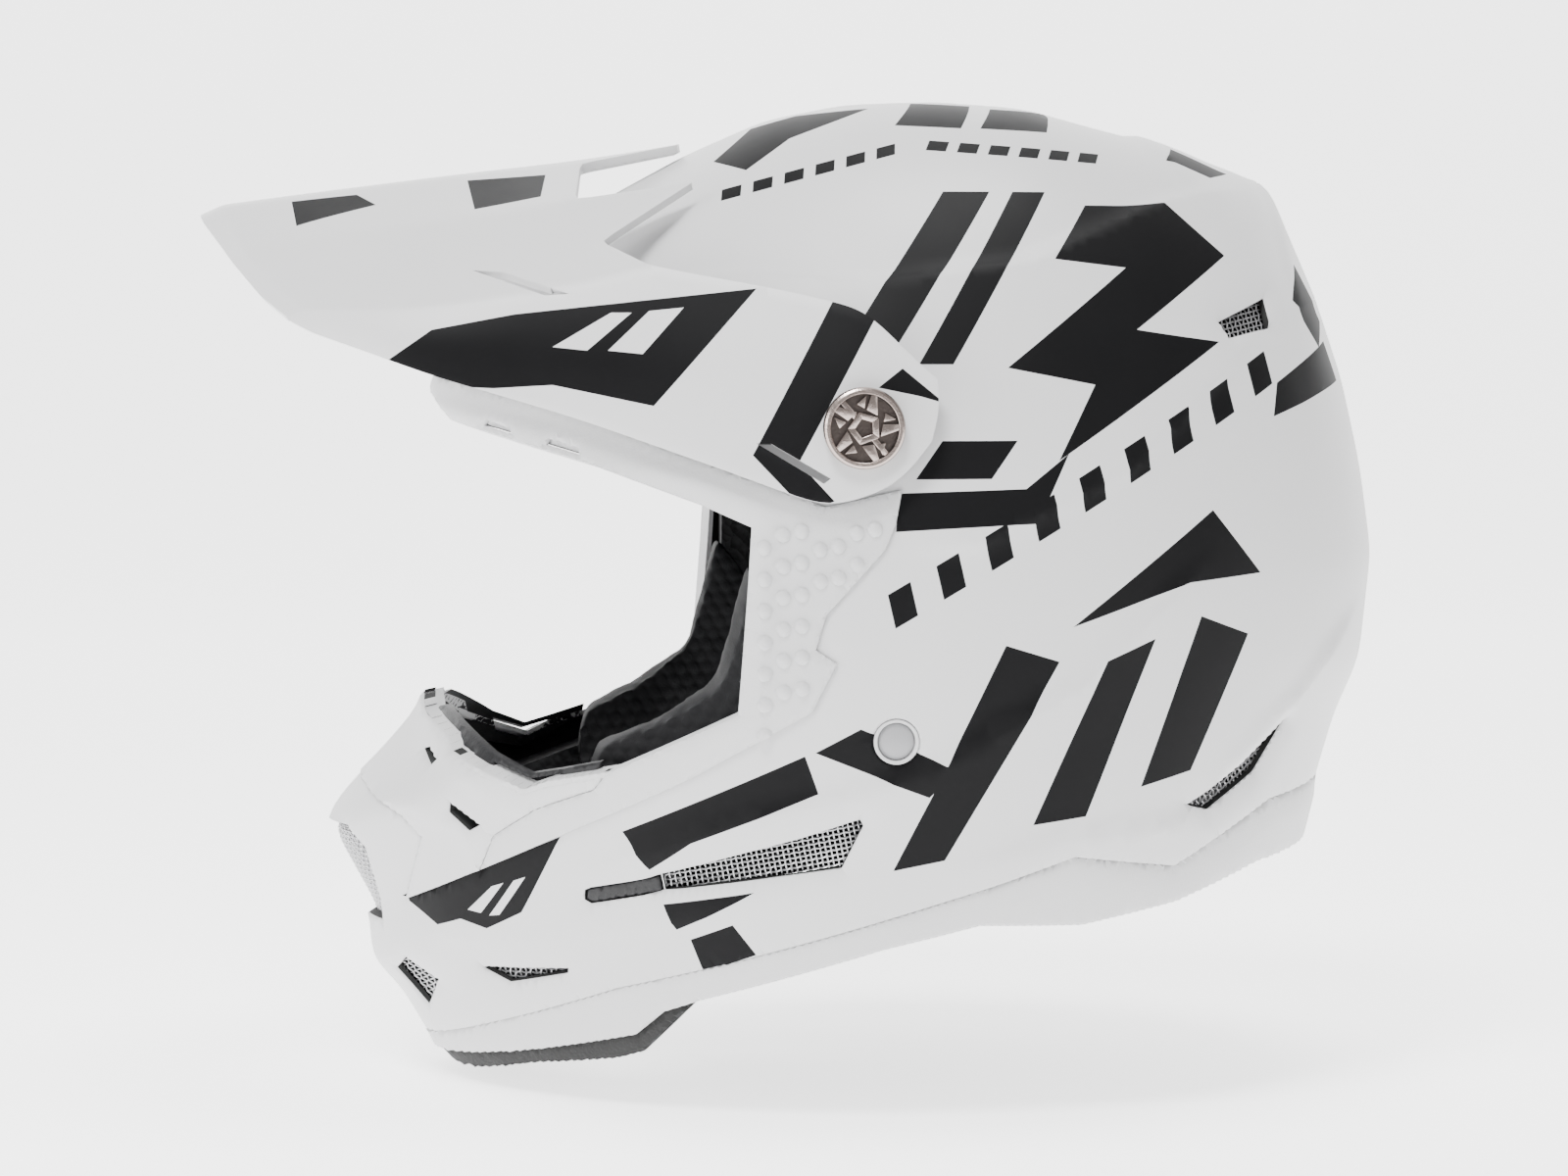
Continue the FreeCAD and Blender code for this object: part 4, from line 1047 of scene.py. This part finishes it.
def padded_piece(node, mat, slot, body="helmet", voxel=4.0, cap=5.0, shrink=1.6, pressure=4.0, quilt=None,
                 levels=1):
    """A stuffed cover: the CAD solid, remeshed, blown up a little as cloth, then subdivided."""
    source = NODES[node]
    me = source.data.copy()
    me.materials.clear()
    o = bpy.data.objects.new(node + "_cover", me)
    bpy.context.scene.collection.objects.link(o)
    o.matrix_world = source.matrix_world.copy()
    remesh = o.modifiers.new("remesh", "REMESH")
    remesh.mode = "VOXEL"
    remesh.voxel_size = voxel * MM
    applied(o)
    o.data.transform(o.matrix_world)
    o.matrix_world = Matrix.Identity(4)
    soften = o.modifiers.new("soften", "SMOOTH")
    soften.iterations = 4
    shrinker = o.modifiers.new("shrink", "DISPLACE")
    shrinker.strength = -shrink * MM
    shrinker.mid_level = 0
    applied(o)
    rest = np.empty(len(o.data.vertices) * 3)
    o.data.vertices.foreach_get("co", rest)
    cloth = o.modifiers.new("cloth", "CLOTH")
    cloth.settings.quality = 4
    cloth.settings.mass = 0.2
    cloth.settings.use_pressure = True
    cloth.settings.uniform_pressure_force = pressure
    cloth.settings.effector_weights.gravity = 0
    cloth.settings.tension_stiffness = cloth.settings.compression_stiffness = 25
    cloth.collision_settings.use_collision = False
    scene = bpy.context.scene
    scene.frame_start, scene.frame_end = 1, 20
    cloth.point_cache.frame_start, cloth.point_cache.frame_end = 1, 20
    for frame in range(1, 21):
        scene.frame_set(frame)
    applied(o)
    scene.frame_set(1)
    now = np.empty(len(o.data.vertices) * 3)
    o.data.vertices.foreach_get("co", now)
    move = (now - rest).reshape(-1, 3)
    far = np.linalg.norm(move, axis=1)
    share = np.minimum(1, cap * MM / np.maximum(far, 1e-9))
    o.data.vertices.foreach_set("co", (rest.reshape(-1, 3) + move * share[:, None]).ravel())
    sub = o.modifiers.new("finer", "SUBSURF")
    sub.levels = sub.render_levels = levels
    applied(o)
    if quilt:
        quilt(o)
    o.data.materials.clear()
    o.data.materials.append(mat)
    o.data.polygons.foreach_set("use_smooth", [True] * len(o.data.polygons))
    settle(o, body, slot, node)
    return o


def hex_quilt(o, pitch=4.4, height=0.5):
    """Raises small hexagonal cells, seen along X, on a cover."""
    n = len(o.data.vertices)
    co, no = np.empty(n * 3), np.empty(n * 3)
    o.data.vertices.foreach_get("co", co)
    o.data.vertex_normals.foreach_get("vector", no)
    co, no = co.reshape(-1, 3), no.reshape(-1, 3)
    y, z = co[:, 1] / MM, co[:, 2] / MM
    a = y / pitch
    b = (z / pitch) / 0.866
    row = np.round(b)
    best = np.full(n, 9.0)
    for dr in (-1, 0, 1):
        r = row + dr
        shift = 0.5 * (r % 2)
        c = np.round(a - shift) + shift
        best = np.minimum(best, np.hypot(a - c, (b - r) * 0.866))
    lift = height * (1 - smooth01((best - 0.18) / 0.32)) * np.clip(np.abs(no[:, 0]) * 2, 0, 1)
    o.data.vertices.foreach_set("co", (co + no * lift[:, None] * MM).ravel())


def make_pads():
    for word in ("left", "right"):
        padded_piece(f"cheek_pad_{word}", QUILT, "pad_fabric", voxel=3.0, cap=5.0, quilt=hex_quilt, levels=2)
    padded_piece("crown_pad", FABRIC, "pad_fabric", "inner_liner", voxel=3.4, cap=5.0, shrink=1.0)
    padded_piece("neck_roll", FABRIC, "pad_fabric", voxel=3.6, cap=5.0)
    o = moulded("chin_roll_cover", CHIN_ROLL, (), (), (), (FOAM,), 0.5, 20.0, 2.4, None, 1.6)
    settle(o, "helmet", "soft_foam", "chin_roll")


def dress_cad():
    """Pieces whose CAD solid is already their visible shape: they take a material."""
    for names, mat in (
        (("outer_foam_liner", "inner_foam_liner", "chin_bar_foam"), BEADS),
        (("chin_strap_left", "chin_strap_right"), WEBBING),
        (("d_ring_inner", "d_ring_outer"), STEEL),
        (("visor_insert_left", "visor_insert_right"), STEEL),
        (("visor_washer_left", "visor_washer_right", "liner_dampers"), RUBBER),
        (("strap_snap",), GREY),
    ):
        for name in names:
            o = NODES[name]
            o.data.materials.clear()
            o.data.materials.append(mat)


# ------------------------------------------------------------------------------------------- stage


FLOOR_Z = -0.1515  # just below the chin roll, in metres
BACKDROP_GLOW = 2.2
STUDIO_GLOW = 0.42
AZIMUTH, ELEVATION, DISTANCE = 85.6, 3.6, 1.4  # of the camera, in degrees and metres
TARGET = (0, -0.03255, 0)
FIELD = 0.496  # width seen at the helmet, in metres
SENSOR = 36.0


def make_stage():
    me = bpy.data.meshes.new("backdrop")
    rows = []
    for k in range(25):
        t = k / 24
        if t < 0.4:
            rows.append((1.2 - 3.0 * t / 0.4 * 1.0, 0.0))
        else:
            a = (t - 0.4) / 0.6 * math.pi / 2
            rows.append((-1.8 - 0.8 * math.sin(a), 0.8 - 0.8 * math.cos(a)))
    rows.append((-2.6, 3.2))
    points, faces = [], []
    for x, z in rows:
        points += [(x, -4, FLOOR_Z + z), (x, 4, FLOOR_Z + z)]
    for k in range(len(rows) - 1):
        faces.append((2 * k, 2 * k + 1, 2 * k + 3, 2 * k + 2))
    me.from_pydata(points, [], faces)
    me.polygons.foreach_set("use_smooth", [True] * len(me.polygons))
    pale = material("backdrop", (0.93, 0.93, 0.93), 0.8, vary=0.004, gloss=0.1)
    shader = pale.node_tree.nodes["Principled BSDF"]
    shader.inputs["Emission Color"].default_value = (1, 1, 1, 1)
    shader.inputs["Emission Strength"].default_value = BACKDROP_GLOW
    me.materials.append(pale)
    floor = bpy.data.objects.new("backdrop", me)
    bpy.context.scene.collection.objects.link(floor)
    world = bpy.data.worlds.new("studio")
    bpy.context.scene.world = world
    world.use_nodes = True
    back = world.node_tree.nodes["Background"]
    back.inputs["Color"].default_value = (1, 1, 1, 1)
    back.inputs["Strength"].default_value = STUDIO_GLOW
    for name, place, size, power in (
        ("key", (0.9, -0.5, 1.5), 0.6, 38),
        ("fill", (1.5, 1.1, 0.5), 1.0, 5),
        ("top", (0.0, 0.2, 1.7), 0.7, 22),
        ("front", (0.7, -1.5, 0.3), 0.7, 12),
    ):
        light = bpy.data.lights.new(name, "AREA")
        light.shape = "DISK"
        light.size = size
        light.energy = power
        lamp = bpy.data.objects.new(name, light)
        lamp.location = place
        lamp.rotation_euler = (Vector((0, -0.03, 0)) - Vector(place)).to_track_quat("-Z", "Y").to_euler()
        bpy.context.scene.collection.objects.link(lamp)
    cam = bpy.data.cameras.new("camera")
    o = bpy.data.objects.new("camera", cam)
    az, el = math.radians(AZIMUTH), math.radians(ELEVATION)
    way = Vector((math.sin(az) * math.cos(el), -math.cos(az) * math.cos(el), math.sin(el)))
    o.location = Vector(TARGET) + way * DISTANCE
    o.rotation_euler = (-way).to_track_quat("-Z", "Y").to_euler()
    cam.sensor_width = SENSOR
    cam.lens = SENSOR * DISTANCE / FIELD
    cam.clip_start, cam.clip_end = 0.05, 20
    bpy.context.scene.collection.objects.link(o)
    bpy.context.scene.camera = o


def main():
    make_shell()
    make_bottom_trim()
    make_trim()
    make_mouthpiece()
    make_nose_guard()
    make_vents()
    make_badges()
    make_visor()
    make_screws()
    make_rivets()
    make_pads()
    dress_cad()
    make_stage()


main()
